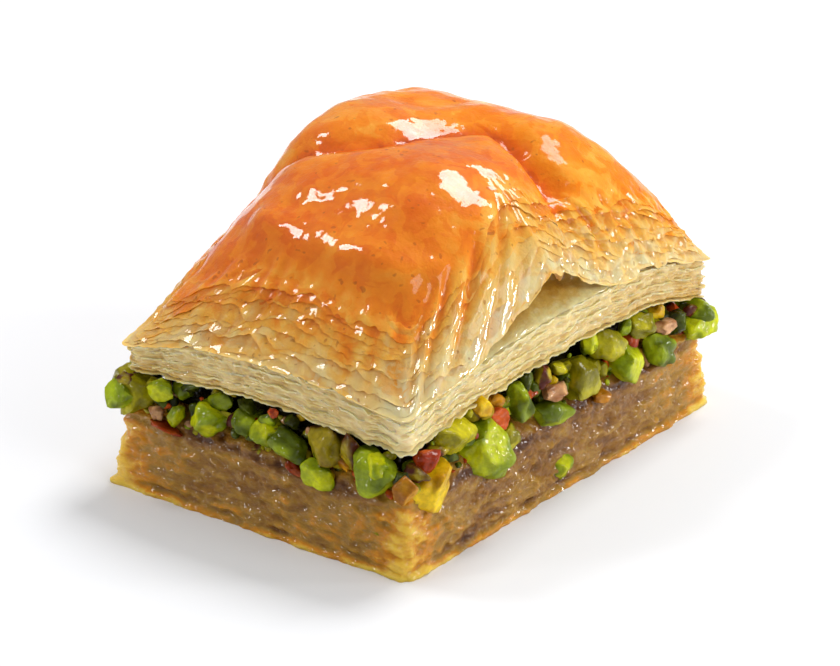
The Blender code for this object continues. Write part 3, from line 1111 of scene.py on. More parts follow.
    def build(self) -> None:
        """Builds the lid's core, the stepped leaves in two pieces and the crust."""
        core = Sheets("lid_core")
        flats = ((0.0, False), (0.5, False), (1.0, False), (1.0, True))
        rows = [partial(self.core_flat, share, top) for share, top in flats]
        ups = [(k / self.core_slopes) ** 1.2 for k in range(self.core_slopes + 1)]
        core.solid(len(self.slopes.turns[::2]), rows + [partial(self.core_slope, up) for up in ups])
        core.piece(self.finish, "golden_pastry", "lid_pastry")
        numbers = range(len(self.tiers))
        half = len(self.tiers) // 2
        for name, tiers in (("lower_golden_leaves", numbers[:half]), ("upper_golden_leaves", numbers[half:])):
            sheets = Sheets(name)
            for tier in tiers:
                sheets.ring(len(self.slopes.turns), self.rows, partial(self.leaf_point, tier))
            sheets.thicken(self.thickness)
            sheets.piece(self.finish, "golden_pastry", "lid_pastry")
        crust = Sheets("crust")
        crust.panel(self.crust_across, self.crust_along, self.crust_point)
        crust.thicken(self.crust_thickness)
        crust.piece(self.finish, "golden_pastry", "lid_pastry")


@dataclass
class SlabLeaves:
    """The pale, soaked leaves at the lid's foot: a crinkled wall of them, some standing proud."""

    form: LidForm
    turns: list[float]
    finish: bpy.types.Material
    leaves: int = 13
    wall_rows: int = 52
    lip: float = 1.0 * MM
    depth: float = 5.0 * MM
    loose: tuple[float, ...] = (0.03, 0.30, 0.55, 0.80, 0.98)
    loose_rows: tuple[float, ...] = (0.0, 0.3 * MM, 1.0 * MM, 2.4 * MM)
    thickness: float = 0.20 * MM
    wall_sharp: float = 75.0
    loose_sharp: float = 60.0

    def sag(self, x: float, y: float) -> float:
        """How far the lowest leaves hang down at a place on the outline."""
        return MM * (0.55 * max(0.0, wavy(x, y, 31, 5.5 * MM)) + 0.16 * wavy(x, y, 32, 1.7 * MM))

    def ragged(self, x: float, y: float, layer: float) -> float:
        """How far a leaf's torn edge stands in at a place on the outline."""
        return MM * (0.34 * wavy(x, y, layer, 1.9 * MM) + 0.26 * wavy(x, y, layer + 0.5, 0.7 * MM))

    def shade(self, x: float, y: float) -> float:
        """How much darker the slab's tone is towards the far end and the -X side, which is painted shade, and
        how much paler it is at the near corner.
        """
        u, v = x / self.form.outline.half_x, y / self.form.outline.half_y
        return 0.20 * smooth(v) + 0.10 * smooth(-u) - 0.36 * max(0.0, -u * v) ** 6

    def wall_point(self, share: float, cap: float, column: int) -> Placed:
        """Places a point of the wall, whose leaves end unevenly with a groove under each.

        Args:
            share: the share of the slab's height.
            cap: how much further in it is moved, on the top and the underside.
            column: the point's number round the lid.

        Returns:
            The point and its tone.
        """
        turn, outline = self.turns[column], self.form.outline
        x, y = outline.point(turn)
        level = share * self.leaves + 0.9 * wavy(x, y, 34, 5.0 * MM) + 0.35 * wavy(x, y, 35, 1.4 * MM)
        number, part = math.floor(level), level % 1.0
        blend = smooth((part - 0.55) / 0.45)
        inset = mix(self.ragged(x, y, 100 + number), self.ragged(x, y, 101 + number), blend)
        groove = 0.13 * band(part, 0.78, 0.16) * max(0.0, 0.5 + 1.4 * wavy(x, y, 37, 2.0 * MM))
        crinkle = 0.20 * wavy(x, y, 38 + 0.9 * share, 1.2 * MM)
        crinkle += 0.09 * wavy(x, y, 39 + 1.6 * share, 0.5 * MM)
        inset = 0.55 * inset + MM * (0.50 + 0.30 * wavy(x, y, 33, 2.4 * MM) + groove + crinkle)
        inset += 0.5 * MM * (1.0 - smooth(share / 0.12)) + 0.3 * MM * smooth((share - 0.9) / 0.1)
        px, py = outline.point(turn, inset + cap)
        height = self.form.underside(px, py) + self.form.thick(px, py) * share
        height -= self.sag(x, y) * (1.0 - share) * smooth(1.0 - cap / (1.5 * MM))
        tone = 0.46 - 0.16 * share + 0.20 * wavy(x, y, 180 + share, 2.2 * MM)
        # Painted shade: the grooves and the deeper crinkles are darker, as are the far end and the -X side.
        return Vector((px, py, height)), tone + 0.5 * groove + 0.25 * crinkle + self.shade(x, y)

    def leaf_point(self, number: int, column: int, row: int) -> Placed:
        """Places a point of a leaf that stands a little proud of the wall in places.

        Args:
            number: the leaf's number from below.
            column: the point's number round the lid.
            row: its number inwards from the leaf's torn edge.

        Returns:
            The point and its tone.
        """
        turn, outline = self.turns[column], self.form.outline
        share = self.loose[number]
        x, y = outline.point(turn)
        fade = 1.0 - row / (len(self.loose_rows) - 1)
        inset = MM * (0.42 + 0.30 * wavy(x, y, 33, 2.4 * MM)) + 1.3 * self.ragged(x, y, 140 + number)
        px, py = outline.point(turn, inset * (0.4 + 0.6 * fade) + self.loose_rows[row])
        height = self.form.underside(px, py) + self.form.thick(px, py) * share
        height -= self.sag(x, y) * (1.0 - share) * fade
        wave = 0.22 * wavy(x, y, 150 + number, 1.8 * MM) + 0.10 * wavy(x, y, 160 + number, 0.7 * MM)
        tone = 0.30 - 0.14 * share + 0.20 * wavy(x, y, 190 + number, 2.4 * MM)
        return Vector((px, py, height + fade * MM * wave)), tone + self.shade(x, y)

    def middle_point(self, top: bool, column: int) -> Placed:
        """The point in the middle of the slab's top or underside, the same for every column."""
        height = self.form.slab_top(0, 0) if top else self.form.underside(0, 0)
        return Vector((0.0, 0.0, height)), 0.4

    def build(self) -> None:
        """Builds the wall, and the proud leaves as another piece."""
        block = Sheets("slab_wall")
        rings = [(0.0, self.depth), (0.0, self.lip)]
        rings += [(k / self.wall_rows, 0.0) for k in range(self.wall_rows + 1)]
        rings += [(1.0, self.lip), (1.0, self.depth)]
        wall = [partial(self.wall_point, share, cap) for share, cap in rings]
        poles = [partial(self.middle_point, top) for top in (False, True)]
        block.solid(len(self.turns), [poles[0], *wall, poles[1]])
        block.piece(self.finish, "golden_pastry", "lid_pastry", self.wall_sharp)
        sheets = Sheets("slab_leaves")
        for number in range(len(self.loose)):
            sheets.ring(len(self.turns), len(self.loose_rows) - 1, partial(self.leaf_point, number))
        sheets.thicken(self.thickness)
        sheets.piece(self.finish, "golden_pastry", "lid_pastry", self.loose_sharp)


@dataclass
class PocketLining:
    """The smooth leaf that lines the pocket under the lifted one."""

    form: LidForm
    finish: bpy.types.Material
    depth: float = 3.4 * MM
    thickness: float = 0.2 * MM
    overlap: float = 1.0 * MM
    inset: float = 0.55 * MM
    lift: float = 0.03 * MM
    across: int = 120
    rows: int = 24

    def point(self, along: float, share: float) -> Placed:
        """Places a point of the lining, which bows inwards where the pocket is open.

        Args:
            along: the share of the way down the +X side.
            share: the share of the way from the pocket's floor to its roof.

        Returns:
            The point and its tone.
        """
        y = mix(self.form.pocket_front - self.overlap, self.form.pocket_back + self.overlap, along)
        edge = self.form.outline.half_x - self.inset
        opened = self.form.pocket(edge, y)
        sweep = smooth(share / 0.75) * smooth((1.0 - share) / 0.12) ** 0.5
        x = edge - 0.15 * MM * wavy(y, 0.0, 8, 1.2 * MM) - 0.5 * MM * share - self.depth * opened**0.7 * sweep
        low = self.form.slab_top(edge, y) + self.lift
        high = self.form.leaf_edge(edge, y) + self.overlap
        z = mix(low, high, share**1.2) + 0.16 * MM * wavy(y - 6 * MM * share, 0.0, 7, 2.5 * MM) * opened
        # Painted shade: the tone darkens up the lining where the pocket is open, under the lifted leaf.
        return Vector((x, y, z)), 0.34 + 0.76 * smooth(share * 1.5) * smooth(opened * 1.6)

    def build(self) -> None:
        """Builds the lining."""
        sheets = Sheets("pocket_lining")
        sheets.panel(self.across, self.rows, self.point)
        sheets.thicken(self.thickness)
        sheets.piece(self.finish, "golden_pastry", "lid_pastry")


@dataclass
class SoakedBase:
    """The base: leaves pressed into one wet block, its strata showing on the cut faces."""

    finish: bpy.types.Material
    outline: Outline = BASE_OUTLINE
    height: float = 10.0 * MM
    taper: float = 0.9 * MM
    shoulder: float = 2.6 * MM
    foot: float = 0.7 * MM
    strata: float = 0.85 * MM
    dark_band: float = 8.2 * MM
    side_rows: int = 54
    pitch: float = 0.27 * MM
    sharp: float = 75.0

    def profile(self, height: float) -> float:
        """Reads the side's lean and its rounded shoulder.

        Args:
            height: the height over the underside.

        Returns:
            How far the side stands in there.
        """
        inset = self.taper * height / self.height
        top = self.height - height
        if top < self.shoulder:
            inset += 0.8 * self.shoulder * (1.0 - math.sqrt(max(0.0, 1.0 - (1.0 - top / self.shoulder) ** 2)))
        return inset

    def stratum(self, x: float, y: float, height: float) -> Point2:
        """Reads the pressed leaves' relief and tone at a point of the side.

        Args:
            x: the place along X.
            y: the place along Y.
            height: the height over the underside.

        Returns:
            How far the leaf stands out, and how much its tone differs.
        """
        bent = height + 0.7 * MM * wavy(x, y, 41, 6.0 * MM) + 0.35 * MM * wavy(x, y, 42, 2.0 * MM)
        level = bent / self.strata
        number, part = math.floor(level), level % 1.0
        offs = [wavy(x, y, 200 + number + k, 2.6 * MM) for k in (0, 1)]
        tones = [wavy(x, y, 260 + number + k, 3.4 * MM) for k in (0, 1)]
        blend = smooth((part - 0.5) / 0.5)
        low = 1.0 - smooth((height / MM - 2.0) / 3.0)
        ledge = 0.20 * low * smooth(1.0 - part) * (0.5 + wavy(x, y, 49 + number, 4.0 * MM))
        # The ledges that stand out get a paler tone: painted light.
        return (0.24 * mix(*offs, blend) + ledge) * MM, 0.42 * mix(*tones, blend) - 0.3 * ledge

    def side(self, turn: float, height: float) -> Placed:
        """Places a point of the side, with the syrup's sheet and groove along its foot.

        Args:
            turn: the way round the base.
            height: the height over the underside.

        Returns:
            The point and its tone.
        """
        x, y = self.outline.point(turn)
        relief, tone = self.stratum(x, y, height)
        spot = Vector((x, y, height * 1.5))
        relief += MM * (0.34 * rough(spot, 3.0 * MM, 2) + 0.24 * rough(spot, 1.1 * MM, 3))
        edge = smooth(height / (0.8 * MM))
        sheet = smooth((self.foot - height) / (0.3 * MM)) * (0.6 + 0.7 * wavy(x, y, 45, 3.0 * MM))
        groove = band(height, self.foot + 0.3 * MM, 0.35 * MM) * (0.7 + wavy(x, y, 43, 4.0 * MM))
        stand = 0.50 * sheet + 0.30 * wavy(x, y, 46, 0.9 * MM) * sheet - 0.22 * groove
        inset = self.profile(height) - relief * mix(0.3, 1.0, edge) - stand * MM
        px, py = self.outline.point(turn, inset)
        u, v = x / self.outline.half_x, y / self.outline.half_y
        # Painted shade: the tone is darker where the side stands in, in the groove along the foot and over
        # the whole +X face, and paler where it stands out; the syrup's sheet and the corners are paler too.
        tone = 0.58 + 0.55 * tone + 0.10 * rough(spot, 1.6 * MM, 2) - 0.35 * relief / MM
        tone += 0.35 * groove - 0.10 * sheet - 0.72 * abs(u * v) ** 5 + 0.12 * smooth(u * 20 - 19)
        tone -= 0.34 * (1.0 - smooth(height / (1.8 * MM))) * (0.8 + wavy(x, y, 47, 4.0 * MM))
        tone += 0.35 * band(height + 0.6 * MM * wavy(x, y, 48, 3.0 * MM), self.dark_band, 0.7 * MM)
        return Vector((px, py, height)), tone

    def ring_point(self, turns: Sequence[float], share: float, height: float, column: int) -> Placed:
        """Places a point of a ring round the base, or of a smaller one on its top or underside.

        Args:
            turns: the turns of the ring's points.
            share: the ring's size, 1 on the side.
            height: the height over the underside.
            column: the point's number.

        Returns:
            The point and its tone.
        """
        point, tone = self.side(turns[column], height)
        return Vector((point.x * share, point.y * share, height)), tone

    def build(self) -> None:
        """Builds the base as one closed solid."""
        turns = self.outline.turns(self.pitch)
        rings = [(0.0, 0.0), (0.6, 0.0), (0.97, 0.0)]
        rings += [(1.0, self.height * k / self.side_rows) for k in range(self.side_rows + 1)]
        rings += [(0.9, self.height), (0.5, self.height), (0.0, self.height)]
        sheets = Sheets("soaked_base")
        sheets.solid(len(turns), [partial(self.ring_point, turns, share, height) for share, height in rings])
        sheets.piece(self.finish, "soaked_pastry", "base_pastry", self.sharp)


class Kernel(Enum):
    """The shades of a chopped kernel: its outside and its cut flesh."""

    LIME = ("#82920A", "#C4C80C")
    GREEN = ("#566408", "#9CAC14")
    OLIVE = ("#7E7606", "#BAB014")
    DARK = ("#2C3004", "#505A0A")
    YELLOW = ("#B2820C", "#E0BC10")
    SKINNED = ("#561E14", "#AC981A")
    RUSSET = ("#902C0A", "#C45418")
    AMBER = ("#A4640A", "#CE9018")
    BLUSH = ("#9C6840", "#D8A676")


class Side(Enum):
    """The cut faces: each one's outward direction and its run direction."""

    SHORT_NEAR = ((0.0, -1.0), (1.0, 0.0))
    LONG_RIGHT = ((1.0, 0.0), (0.0, 1.0))
    SHORT_FAR = ((0.0, 1.0), (-1.0, 0.0))
    LONG_LEFT = ((-1.0, 0.0), (0.0, -1.0))


@dataclass(frozen=True)
class Chunk:
    """One chopped piece: its face, place, size in millimetres, shade, stand and spin."""

    side: Side
    along: float
    height: float
    wide: float
    tall: float
    kernel: Kernel
    proud: float = 0.3
    spin: float = 0.0


@dataclass(frozen=True)
class Scatter:
    """How pieces are drawn at random for a face, in millimetres.

    The ranges are those of their width, height and stand. The larger the settle, the more of
    them lie low, and the weights say how often each shade is drawn.
    """

    wide: Point2
    tall: Point2
    proud: Point2
    settle: float
    weights: tuple[int, ...]


NEAR, RIGHT = Side.SHORT_NEAR, Side.LONG_RIGHT

SHOWN_CHUNKS = (
    Chunk(RIGHT, -23.4, 9.6, 4.4, 6.2, Kernel.YELLOW, 0.9, 0.5),
    Chunk(RIGHT, -24.4, 12.6, 3.4, 3.0, Kernel.RUSSET, 0.6, 0.2),
    Chunk(RIGHT, -19.2, 13.2, 6.0, 4.6, Kernel.OLIVE, 0.5, 0.3),
    Chunk(RIGHT, -13.6, 9.4, 6.2, 7.4, Kernel.LIME, 1.3, -0.4),
    Chunk(RIGHT, -13.9, 15.0, 3.4, 2.6, Kernel.YELLOW, -0.2, 0.4),
    Chunk(RIGHT, -10.9, 12.4, 3.0, 2.8, Kernel.RUSSET, 0.0, 0.1),
    Chunk(RIGHT, -9.2, 9.6, 3.0, 3.2, Kernel.OLIVE, 0.2, 0.6),
    Chunk(RIGHT, -7.0, 12.8, 3.2, 5.0, Kernel.GREEN, 0.4, -0.3),
    Chunk(RIGHT, -2.6, 14.4, 2.6, 3.0, Kernel.SKINNED, 0.0, 0.3),
    Chunk(RIGHT, -0.6, 12.0, 4.8, 1.8, Kernel.BLUSH, 0.5, 0.1),
    Chunk(RIGHT, -1.2, 9.6, 5.8, 3.6, Kernel.GREEN, 0.6, 0.2),
    Chunk(RIGHT, 4.9, 11.2, 6.2, 5.2, Kernel.OLIVE, 0.5, 0.4),
    Chunk(RIGHT, 7.9, 8.2, 3.2, 1.6, Kernel.AMBER, 0.4, 0.2),
    Chunk(RIGHT, 9.9, 13.4, 5.2, 3.6, Kernel.OLIVE, 0.1, 0.5),
    Chunk(RIGHT, 13.0, 10.4, 4.6, 5.2, Kernel.LIME, 0.7, -0.5),
    Chunk(RIGHT, 16.0, 13.6, 4.0, 2.8, Kernel.OLIVE, 0.2, 0.1),
    Chunk(RIGHT, 20.2, 12.0, 3.2, 2.0, Kernel.BLUSH, 0.1, 0.2),
    Chunk(RIGHT, 19.4, 9.6, 4.4, 3.8, Kernel.GREEN, 0.5, 0.5),
    Chunk(RIGHT, 22.9, 11.6, 3.6, 3.0, Kernel.DARK, 0.3, 0.3),
    Chunk(RIGHT, 26.6, 10.4, 4.6, 4.2, Kernel.LIME, 0.9, 0.2),
    Chunk(RIGHT, 0.2, 2.4, 3.0, 3.6, Kernel.LIME, 0.5, 0.2),
    Chunk(NEAR, -17.4, 10.6, 4.6, 4.8, Kernel.OLIVE, 0.6, 0.3),
    Chunk(NEAR, -18.4, 12.6, 2.0, 1.6, Kernel.SKINNED, 0.3, 0.2),
    Chunk(NEAR, -13.8, 12.6, 3.6, 2.6, Kernel.LIME, 0.2, 0.1),
    Chunk(NEAR, -14.2, 9.9, 2.0, 2.0, Kernel.BLUSH, 0.3, 0.5),
    Chunk(NEAR, -11.6, 10.2, 1.6, 2.8, Kernel.LIME, 0.3, 0.3),
    Chunk(NEAR, -7.6, 10.8, 5.0, 4.2, Kernel.LIME, 0.6, -0.3),
    Chunk(NEAR, -3.0, 11.6, 3.2, 3.2, Kernel.GREEN, -0.3, 0.2),
    Chunk(NEAR, 0.2, 11.6, 3.4, 3.6, Kernel.LIME, 0.2, 0.7),
    Chunk(NEAR, 3.6, 11.0, 5.2, 3.0, Kernel.GREEN, 0.4, 0.2),
    Chunk(NEAR, 1.4, 14.4, 1.4, 1.0, Kernel.RUSSET, -0.2, 0.2),
    Chunk(NEAR, 8.0, 12.0, 4.6, 5.2, Kernel.SKINNED, 0.6, -0.2),
    Chunk(NEAR, 7.9, 8.9, 4.2, 3.4, Kernel.LIME, 0.7, 0.4),
    Chunk(NEAR, 11.8, 12.4, 2.8, 4.4, Kernel.SKINNED, 0.1, 0.3),
    Chunk(NEAR, 14.9, 11.0, 6.4, 5.2, Kernel.GREEN, 0.8, 0.1),
    Chunk(NEAR, 16.0, 12.6, 3.4, 2.4, Kernel.LIME, 1.1, 0.6),
    Chunk(NEAR, 19.2, 10.6, 2.8, 3.4, Kernel.AMBER, 0.5, 0.3),
    Chunk(NEAR, 4.7, 8.9, 2.4, 1.2, Kernel.RUSSET, 0.4, 0.4),
    Chunk(NEAR, 15.4, 4.4, 2.4, 2.0, Kernel.OLIVE, -0.5, 0.4),
    Chunk(NEAR, -13.0, 8.4, 4.6, 1.0, Kernel.RUSSET, 0.4, 0.1),
)


@dataclass
class Filling:
    """The chopped pistachio: a core painted dark as the shade behind the pieces, the pieces that show and the
    crumbs between them.
    """

    form: LidForm
    finish: bpy.types.Material
    painted_shade_finish: bpy.types.Material
    outline: Outline = BASE_OUTLINE
    floor: float = 9.9 * MM
    seed: int = 31
    shapes: int = 14
    filler: int = 170
    crumbs: int = 520
    core_inset: float = 4.2 * MM
    core_pitch: float = 0.8 * MM
    core_gap: float = 0.2 * MM
    core_tone: float = 0.85
    margin: float = 0.05 * MM
    sunk: float = 0.42
    lightness: Point2 = (0.8, 1.15)
    near_shade: float = 0.88
    side_shade: float = 0.95
    sharp: float = 38.0
    between: Scatter = Scatter((1.8, 3.2), (1.4, 2.6), (-1.3, -0.5), 1.0, (2, 5, 6, 9, 1, 4, 1, 1, 0))
    alone: Scatter = Scatter((2.4, 5.4), (2.2, 4.2), (-0.5, 0.6), 1.4, (5, 6, 7, 4, 2, 3, 2, 2, 1))
    crumb_weights: tuple[int, ...] = (4, 5, 6, 4, 3, 4, 5, 5, 3)

    def chop(self, draw: random.Random, cuts: int, fineness: int, wear: int) -> bpy.types.Mesh:
        """Chops one kernel: a rounded lump with flat cuts, as wide, deep and tall as 1.

        Args:
            draw: the source of chance.
            cuts: how many flat cuts it gets.
            fineness: the subdivisions of the lump.
            wear: how sharp the cuts' edges stay, from about 8 for worn to 20 for crisp.

        Returns:
            The lump's mesh, with 1 in its flesh layer on the points of the cuts.
        """
        planes = []
        for _ in range(cuts):
            facing = Vector((draw.gauss(0, 1), draw.gauss(0, 1), draw.gauss(0, 1))).normalized()
            planes.append((facing, draw.uniform(0.26, 0.42)))
        shape = bmesh.new()
        flesh = shape.verts.layers.float.new("flesh")
        bmesh.ops.create_icosphere(shape, subdivisions=fineness, radius=1.0)
        shift = Vector((draw.uniform(-9, 9), draw.uniform(-9, 9), draw.uniform(-9, 9)))
        for vertex in shape.verts:
            away = vertex.co.normalized()
            whole = 0.5 * (1.0 + 0.35 * noise.noise(away * 1.5 + shift))
            parts = [whole] + [depth / away.dot(plane) for plane, depth in planes if away.dot(plane) > 0.05]
            reach = sum(part**-wear for part in parts) ** (-1 / wear)
            vertex[flesh] = smooth((whole / reach - 1.0) / 0.15)
            vertex.co = away * reach * (1.0 + 0.07 * noise.noise(away * 3.0 + shift))
        for axis in range(3):
            low = min(vertex.co[axis] for vertex in shape.verts)
            high = max(vertex.co[axis] for vertex in shape.verts)
            for vertex in shape.verts:
                vertex.co[axis] = (vertex.co[axis] - (low + high) / 2) / (high - low)
        mesh = bpy.data.meshes.new("chopped")
        shape.to_mesh(mesh)
        shape.free()
        return mesh

    def add(
        self, shape: bmesh.types.BMesh, mesh: bpy.types.Mesh, place: Matrix, kernel: Kernel, value: float
    ) -> None:
        """Adds a copy of a chopped lump to the gathered ones.

        Args:
            shape: the gathered lumps.
            mesh: the lump.
            place: its place, turn and size.
            kernel: its shades.
            value: how light it is.
        """
        before = len(shape.verts)
        shape.from_mesh(mesh)
        shape.verts.ensure_lookup_table()
        shade = shape.verts.layers.float_color["shade"]
        flesh = shape.verts.layers.float["flesh"]
        outside, inside = (Vector(linear(colour)) for colour in kernel.value)
        shift = place.translation * 700.0
        for vertex in shape.verts[before:]:
            blend = smooth(0.65 * vertex[flesh] + 0.18 + 1.1 * noise.noise(vertex.co * 1.8 + shift))
            vertex[shade] = outside.lerp(inside, blend) * value
            vertex.co = place @ vertex.co

    def room(self, side: Side, along: float) -> tuple[Vector, Vector, float]:
        """Finds the room for a piece on a face.

        Args:
            side: the face.
            along: the way along it from its middle.

        Returns:
            The face's point, its outward direction and the lid's height over it.
        """
        outward, run = (Vector(direction) for direction in side.value)
        depth = self.outline.half_y if side in (Side.SHORT_NEAR, Side.SHORT_FAR) else self.outline.half_x
        point = outward * depth + run * along
        return point, outward, self.form.underside(point.x, point.y)

    def chunk_matrix(self, chunk: Chunk, draw: random.Random) -> Matrix:
        """Places a chunk, with one of a cube's turns drawn at random.

        Args:
            chunk: the chunk.
            draw: the source of chance.

        Returns:
            Its place, turn and size.
        """
        point, outward, _ = self.room(chunk.side, chunk.along * MM)
        deep = 0.5 * (chunk.wide + chunk.tall) * draw.uniform(0.8, 1.0)
        centre = point + outward * (chunk.proud - self.sunk * deep) * MM
        run = Vector(chunk.side.value[1])
        basis = Matrix(((run.x, outward.x, 0), (run.y, outward.y, 0), (0, 0, 1))).to_4x4()
        size = Matrix.Diagonal((chunk.wide * MM, deep * MM, chunk.tall * MM, 1.0))
        tilt = Matrix.Rotation(chunk.spin, 4, "Y")
        free = Matrix.Rotation(draw.choice((0, 1, 2, 3)) * math.pi / 2, 4, draw.choice("XYZ"))
        return Matrix.Translation((centre.x, centre.y, chunk.height * MM)) @ basis @ tilt @ size @ free

    def filler_chunks(self, draw: random.Random) -> Iterable[Chunk]:
        """Draws chunks all round the faces, smaller between the ones listed.

        Args:
            draw: the source of chance.

        Returns:
            The chunks, one at a time.
        """
        lengths = (2 * self.outline.half_x, 2 * self.outline.half_y) * 2
        total = sum(lengths)
        for k in range(self.filler):
            run = (k + draw.uniform(-0.4, 0.4)) / self.filler * total % total
            for side, length in zip(Side, lengths):
                if run <= length:
                    break
                run -= length
            along = run - length / 2
            high = self.room(side, along)[2]
            scatter = self.between if side in (NEAR, RIGHT) else self.alone
            wide, tall = draw.uniform(*scatter.wide), draw.uniform(*scatter.tall)
            level = draw.random() ** scatter.settle
            height = mix(self.floor / MM + 0.3 * tall, high / MM - 0.5 * tall, level)
            kernel = draw.choices(list(Kernel), scatter.weights)[0]
            proud, spin = draw.uniform(*scatter.proud), draw.uniform(-0.6, 0.6)
            yield Chunk(side, along / MM, height, wide, tall, kernel, proud, spin)

    def crumb_chunks(self, draw: random.Random) -> Iterable[Chunk]:
        """Draws fine crumbs between the chunks, some fallen on the base's shoulder.

        Args:
            draw: the source of chance.

        Returns:
            The crumbs, one at a time.
        """
        low = self.floor / MM
        for _ in range(self.crumbs):
            side = draw.choices(list(Side), (2, 3, 2, 3))[0]
            half = self.outline.half_x if side in (Side.SHORT_NEAR, Side.SHORT_FAR) else self.outline.half_y
            along = draw.uniform(-half, half) * 0.94
            high = self.room(side, along)[2] / MM
            level = draw.random() ** 2
            size = draw.uniform(0.5, 1.4)
            height = mix(low - 1.6, high - 0.6, level)
            proud = draw.uniform(-1.6, -0.9) if height < low else draw.uniform(-2.4, -0.6)
            tall = size * draw.uniform(0.6, 1.0)
            kernel = draw.choices(list(Kernel), self.crumb_weights)[0]
            yield Chunk(side, along / MM, height, size, tall, kernel, proud, draw.uniform(-1, 1))

    def gather(
        self, name: str, chunks: Iterable[Chunk], lumps: Sequence[bpy.types.Mesh], draw: random.Random
    ) -> None:
        """Joins chunks into one piece, darker on the near face, which stands in the shade.

        Args:
            name: the piece's name.
            chunks: the chunks.
            lumps: the chopped lumps that they are copies of.
            draw: the source of chance.
        """
        shape = bmesh.new()
        shape.verts.layers.float_color.new("shade")
        shape.verts.layers.float.new("flesh")
        for chunk in chunks:
            value = draw.uniform(*self.lightness)
            value *= self.near_shade if chunk.side is NEAR else self.side_shade
            self.add(shape, draw.choice(lumps), self.chunk_matrix(chunk, draw), chunk.kernel, value)
        self.keep_clear(shape)
        dress(shape, name, self.finish, "pistachio_filling", self.sharp)

    def keep_clear(self, shape: bmesh.types.BMesh) -> None:
        """Presses points that would stand outside the part's box across or along back into it; their heights
        are left as they are.

        Args:
            shape: the gathered lumps.
        """
        low, high = CAD_BOX
        for vertex in shape.verts:
            for axis in range(2):
                inside = max(low[axis] + self.margin, vertex.co[axis])
                vertex.co[axis] = min(high[axis] - self.margin, inside)

    def core_point(self, turns: Sequence[float], share: float, roof: bool, column: int) -> Placed:
        """Places a point of the core behind the pieces, painted dark as shade.

        Args:
            turns: the turns of its points.
            share: how far out from the middle it lies, 1 on the core's side.
            roof: whether it is on top, or else on the floor.
            column: the point's number.

        Returns:
            The point and its tone.
        """
        inset = self.core_inset if share == 1.0 else 0.0
        x, y = self.outline.point(turns[column], inset)
        x, y = x * share, y * share
        relief = 0.5 * MM * rough(Vector((x, y, inset)), 2.0 * MM, 2)
        height = self.form.underside(x, y) - self.core_gap if roof else self.floor
        return Vector((x + relief, y + relief, height)), self.core_tone

    def build(self) -> None:
        """Builds the core, the chunks and the crumbs."""
        core, turns = Sheets("filling_shade_core"), self.outline.turns(self.core_pitch)
        rings = ((0.0, False), (1.0, False), (1.0, True), (0.5, True), (0.0, True))
        core.solid(len(turns), [partial(self.core_point, turns, share, roof) for share, roof in rings])
        core.piece(self.painted_shade_finish, "pistachio", "pistachio_filling")
        draw = random.Random(self.seed)
        lumps = [self.chop(draw, draw.randint(4, 6), 4, 24) for _ in range(self.shapes)]
        self.gather("pistachio_shown", SHOWN_CHUNKS, lumps, draw)
        plain = [self.chop(draw, draw.randint(3, 6), 3, 20) for _ in range(self.shapes)]
        self.gather("pistachio_chunks", self.filler_chunks(draw), plain, draw)
        bits = [self.chop(draw, 4, 2, 14) for _ in range(self.shapes)]
        self.gather("pistachio_crumbs", self.crumb_chunks(draw), bits, draw)
        for mesh in lumps + plain + bits:
            bpy.data.meshes.remove(mesh)


@dataclass(frozen=True)
class Light:
    """A soft square white light: the direction it stands in, its distance, side and strength."""

    name: str
    direction: Point3
    distance: float
    side: float
    watts: float


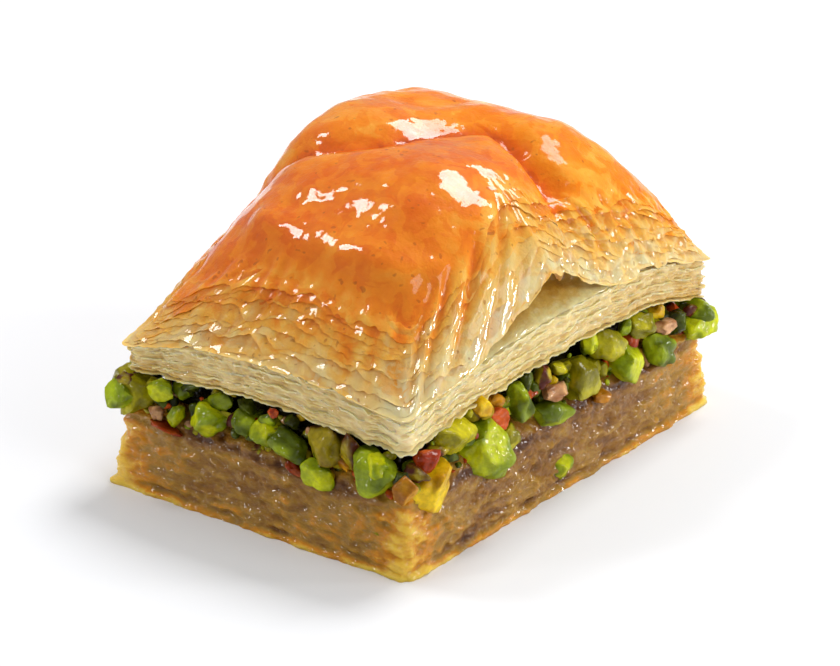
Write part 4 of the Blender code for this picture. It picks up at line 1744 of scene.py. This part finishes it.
@dataclass
class Studio:
    """A pale floor, soft studio light and the camera at the photograph's viewing point."""

    target: Point3 = (0.7 * MM, 0.3 * MM, 16.5 * MM)
    camera_place: Point3 = (0.4140, -0.5699, 0.3403)
    view_line: Point3 = (-0.5326, 0.7341, -0.4212)
    roll: float = 0.01475
    lens: float = 302.8
    sensor: float = 36.0
    nearest: float = 0.01
    floor_side: float = 3.0
    floor_colour: str = "#E4E5E8"
    floor_roughness: float = 0.6
    sky: float = 0.38
    lights: tuple[Light, ...] = (
        Light("back_light", (0.02, 0.55, 0.82), 0.55, 0.23, 2.3),
        Light("left_light", (-0.58, -0.14, 0.80), 0.55, 0.13, 0.9),
        Light("right_fill", (0.88, 0.00, 0.48), 0.75, 0.45, 2.0),
        Light("right_spark", (0.78, 0.60, 0.16), 0.55, 0.09, 1.0),
        Light("front_spark", (-0.58, -0.78, 0.18), 0.55, 0.08, 0.60),
    )

    def floor(self) -> None:
        """Lays the floor, matt painted board that gives a soft edge to the shadow."""
        finish = bpy.data.materials.new("pale_painted_board")
        finish.use_nodes = True
        paint = {"Base Color": linear(self.floor_colour), "Roughness": self.floor_roughness}
        feed(finish.node_tree.nodes["Principled BSDF"], paint)
        shape = bmesh.new()
        bmesh.ops.create_grid(shape, x_segments=1, y_segments=1, size=self.floor_side)
        mesh = bpy.data.meshes.new("floor")
        shape.to_mesh(mesh)
        shape.free()
        mesh.materials.append(finish)
        floor = bpy.data.objects.new("floor", mesh)
        bpy.context.scene.collection.objects.link(floor)

    def light(self, lamp: Light) -> None:
        """Hangs one light, facing the part.

        Args:
            lamp: the light.
        """
        data = bpy.data.lights.new(lamp.name, "AREA")
        data.size = lamp.side
        data.energy = lamp.watts
        placed = bpy.data.objects.new(lamp.name, data)
        away = Vector(lamp.direction).normalized()
        placed.location = Vector(self.target) + away * lamp.distance
        placed.rotation_euler = away.to_track_quat("Z", "Y").to_euler()
        bpy.context.scene.collection.objects.link(placed)

    def world(self) -> None:
        """Surrounds the part with even white."""
        world = bpy.data.worlds.new("white_room")
        world.use_nodes = True
        sky = {"Color": linear("#FFFFFF"), "Strength": self.sky}
        feed(world.node_tree.nodes["Background"], sky)
        bpy.context.scene.world = world

    def camera(self) -> None:
        """Sets the camera where the photograph was taken from, with a longer lens."""
        data = bpy.data.cameras.new("camera")
        data.lens = self.lens
        data.sensor_width = self.sensor
        data.clip_start = self.nearest
        camera = bpy.data.objects.new("camera", data)
        camera.location = self.camera_place
        level = Vector(self.view_line).to_track_quat("-Z", "Y").to_matrix()
        camera.rotation_euler = (level @ Matrix.Rotation(self.roll, 3, "Z")).to_euler()
        bpy.context.scene.collection.objects.link(camera)
        bpy.context.scene.camera = camera

    def build(self) -> None:
        """Builds the whole studio."""
        self.world()
        self.floor()
        for lamp in self.lights:
            self.light(lamp)
        self.camera()
        view = bpy.context.scene.view_settings
        view.view_transform = "Standard"
        view.look = "None"


def main() -> None:
    """Builds the studio and every piece of the baklava."""
    logging.basicConfig(level=logging.INFO, format="%(message)s")
    form = LidForm()
    slopes = Slopes(form)
    baked = LeafFinish().material()
    # Pale filo that the syrup has only reached: cream, nearly smooth, and light shines through it.
    pale = SoakedFinish(
        name="soaked_pale_leaf",
        stops=((0.0, "#F1DFAC"), (0.35, "#DCC284"), (0.65, "#C2994C"), (1.0, "#96681C")),
        relief=0.10 * MM,
        sink=0.65,
        sink_depth=1.3 * MM,
    ).material()
    # Pressed filo full of syrup: amber to brown, coarse, with the strongest sparks.
    soaked = SoakedFinish(
        name="syrup_pressed_leaves",
        stops=((0.0, "#E8BC44"), (0.25, "#CA8214"), (0.5, "#A47A2A"), (0.75, "#875A20"), (1.0, "#522A05")),
        relief=0.30 * MM,
        glaze=0.65,
        glint=0.60 * MM,
    ).material()
    # Painted shade between the kernels: a near-black syrup colour stands in for the deep shadow under the
    # lid, so that the kernels stand out.
    dark = SoakedFinish(
        name="painted_shade_syrup", stops=((0.0, "#4A3E0C"), (0.6, "#2E2606"), (1.0, "#1A1503")), sink=0.0
    ).material()
    kernel = KernelFinish().material()
    Studio().build()
    GoldenLeaves(slopes, baked).build()
    SlabLeaves(form, slopes.turns, pale).build()
    PocketLining(form, pale).build()
    SoakedBase(soaked).build()
    Filling(form, kernel, dark).build()


if __name__ == "__main__":
    main()
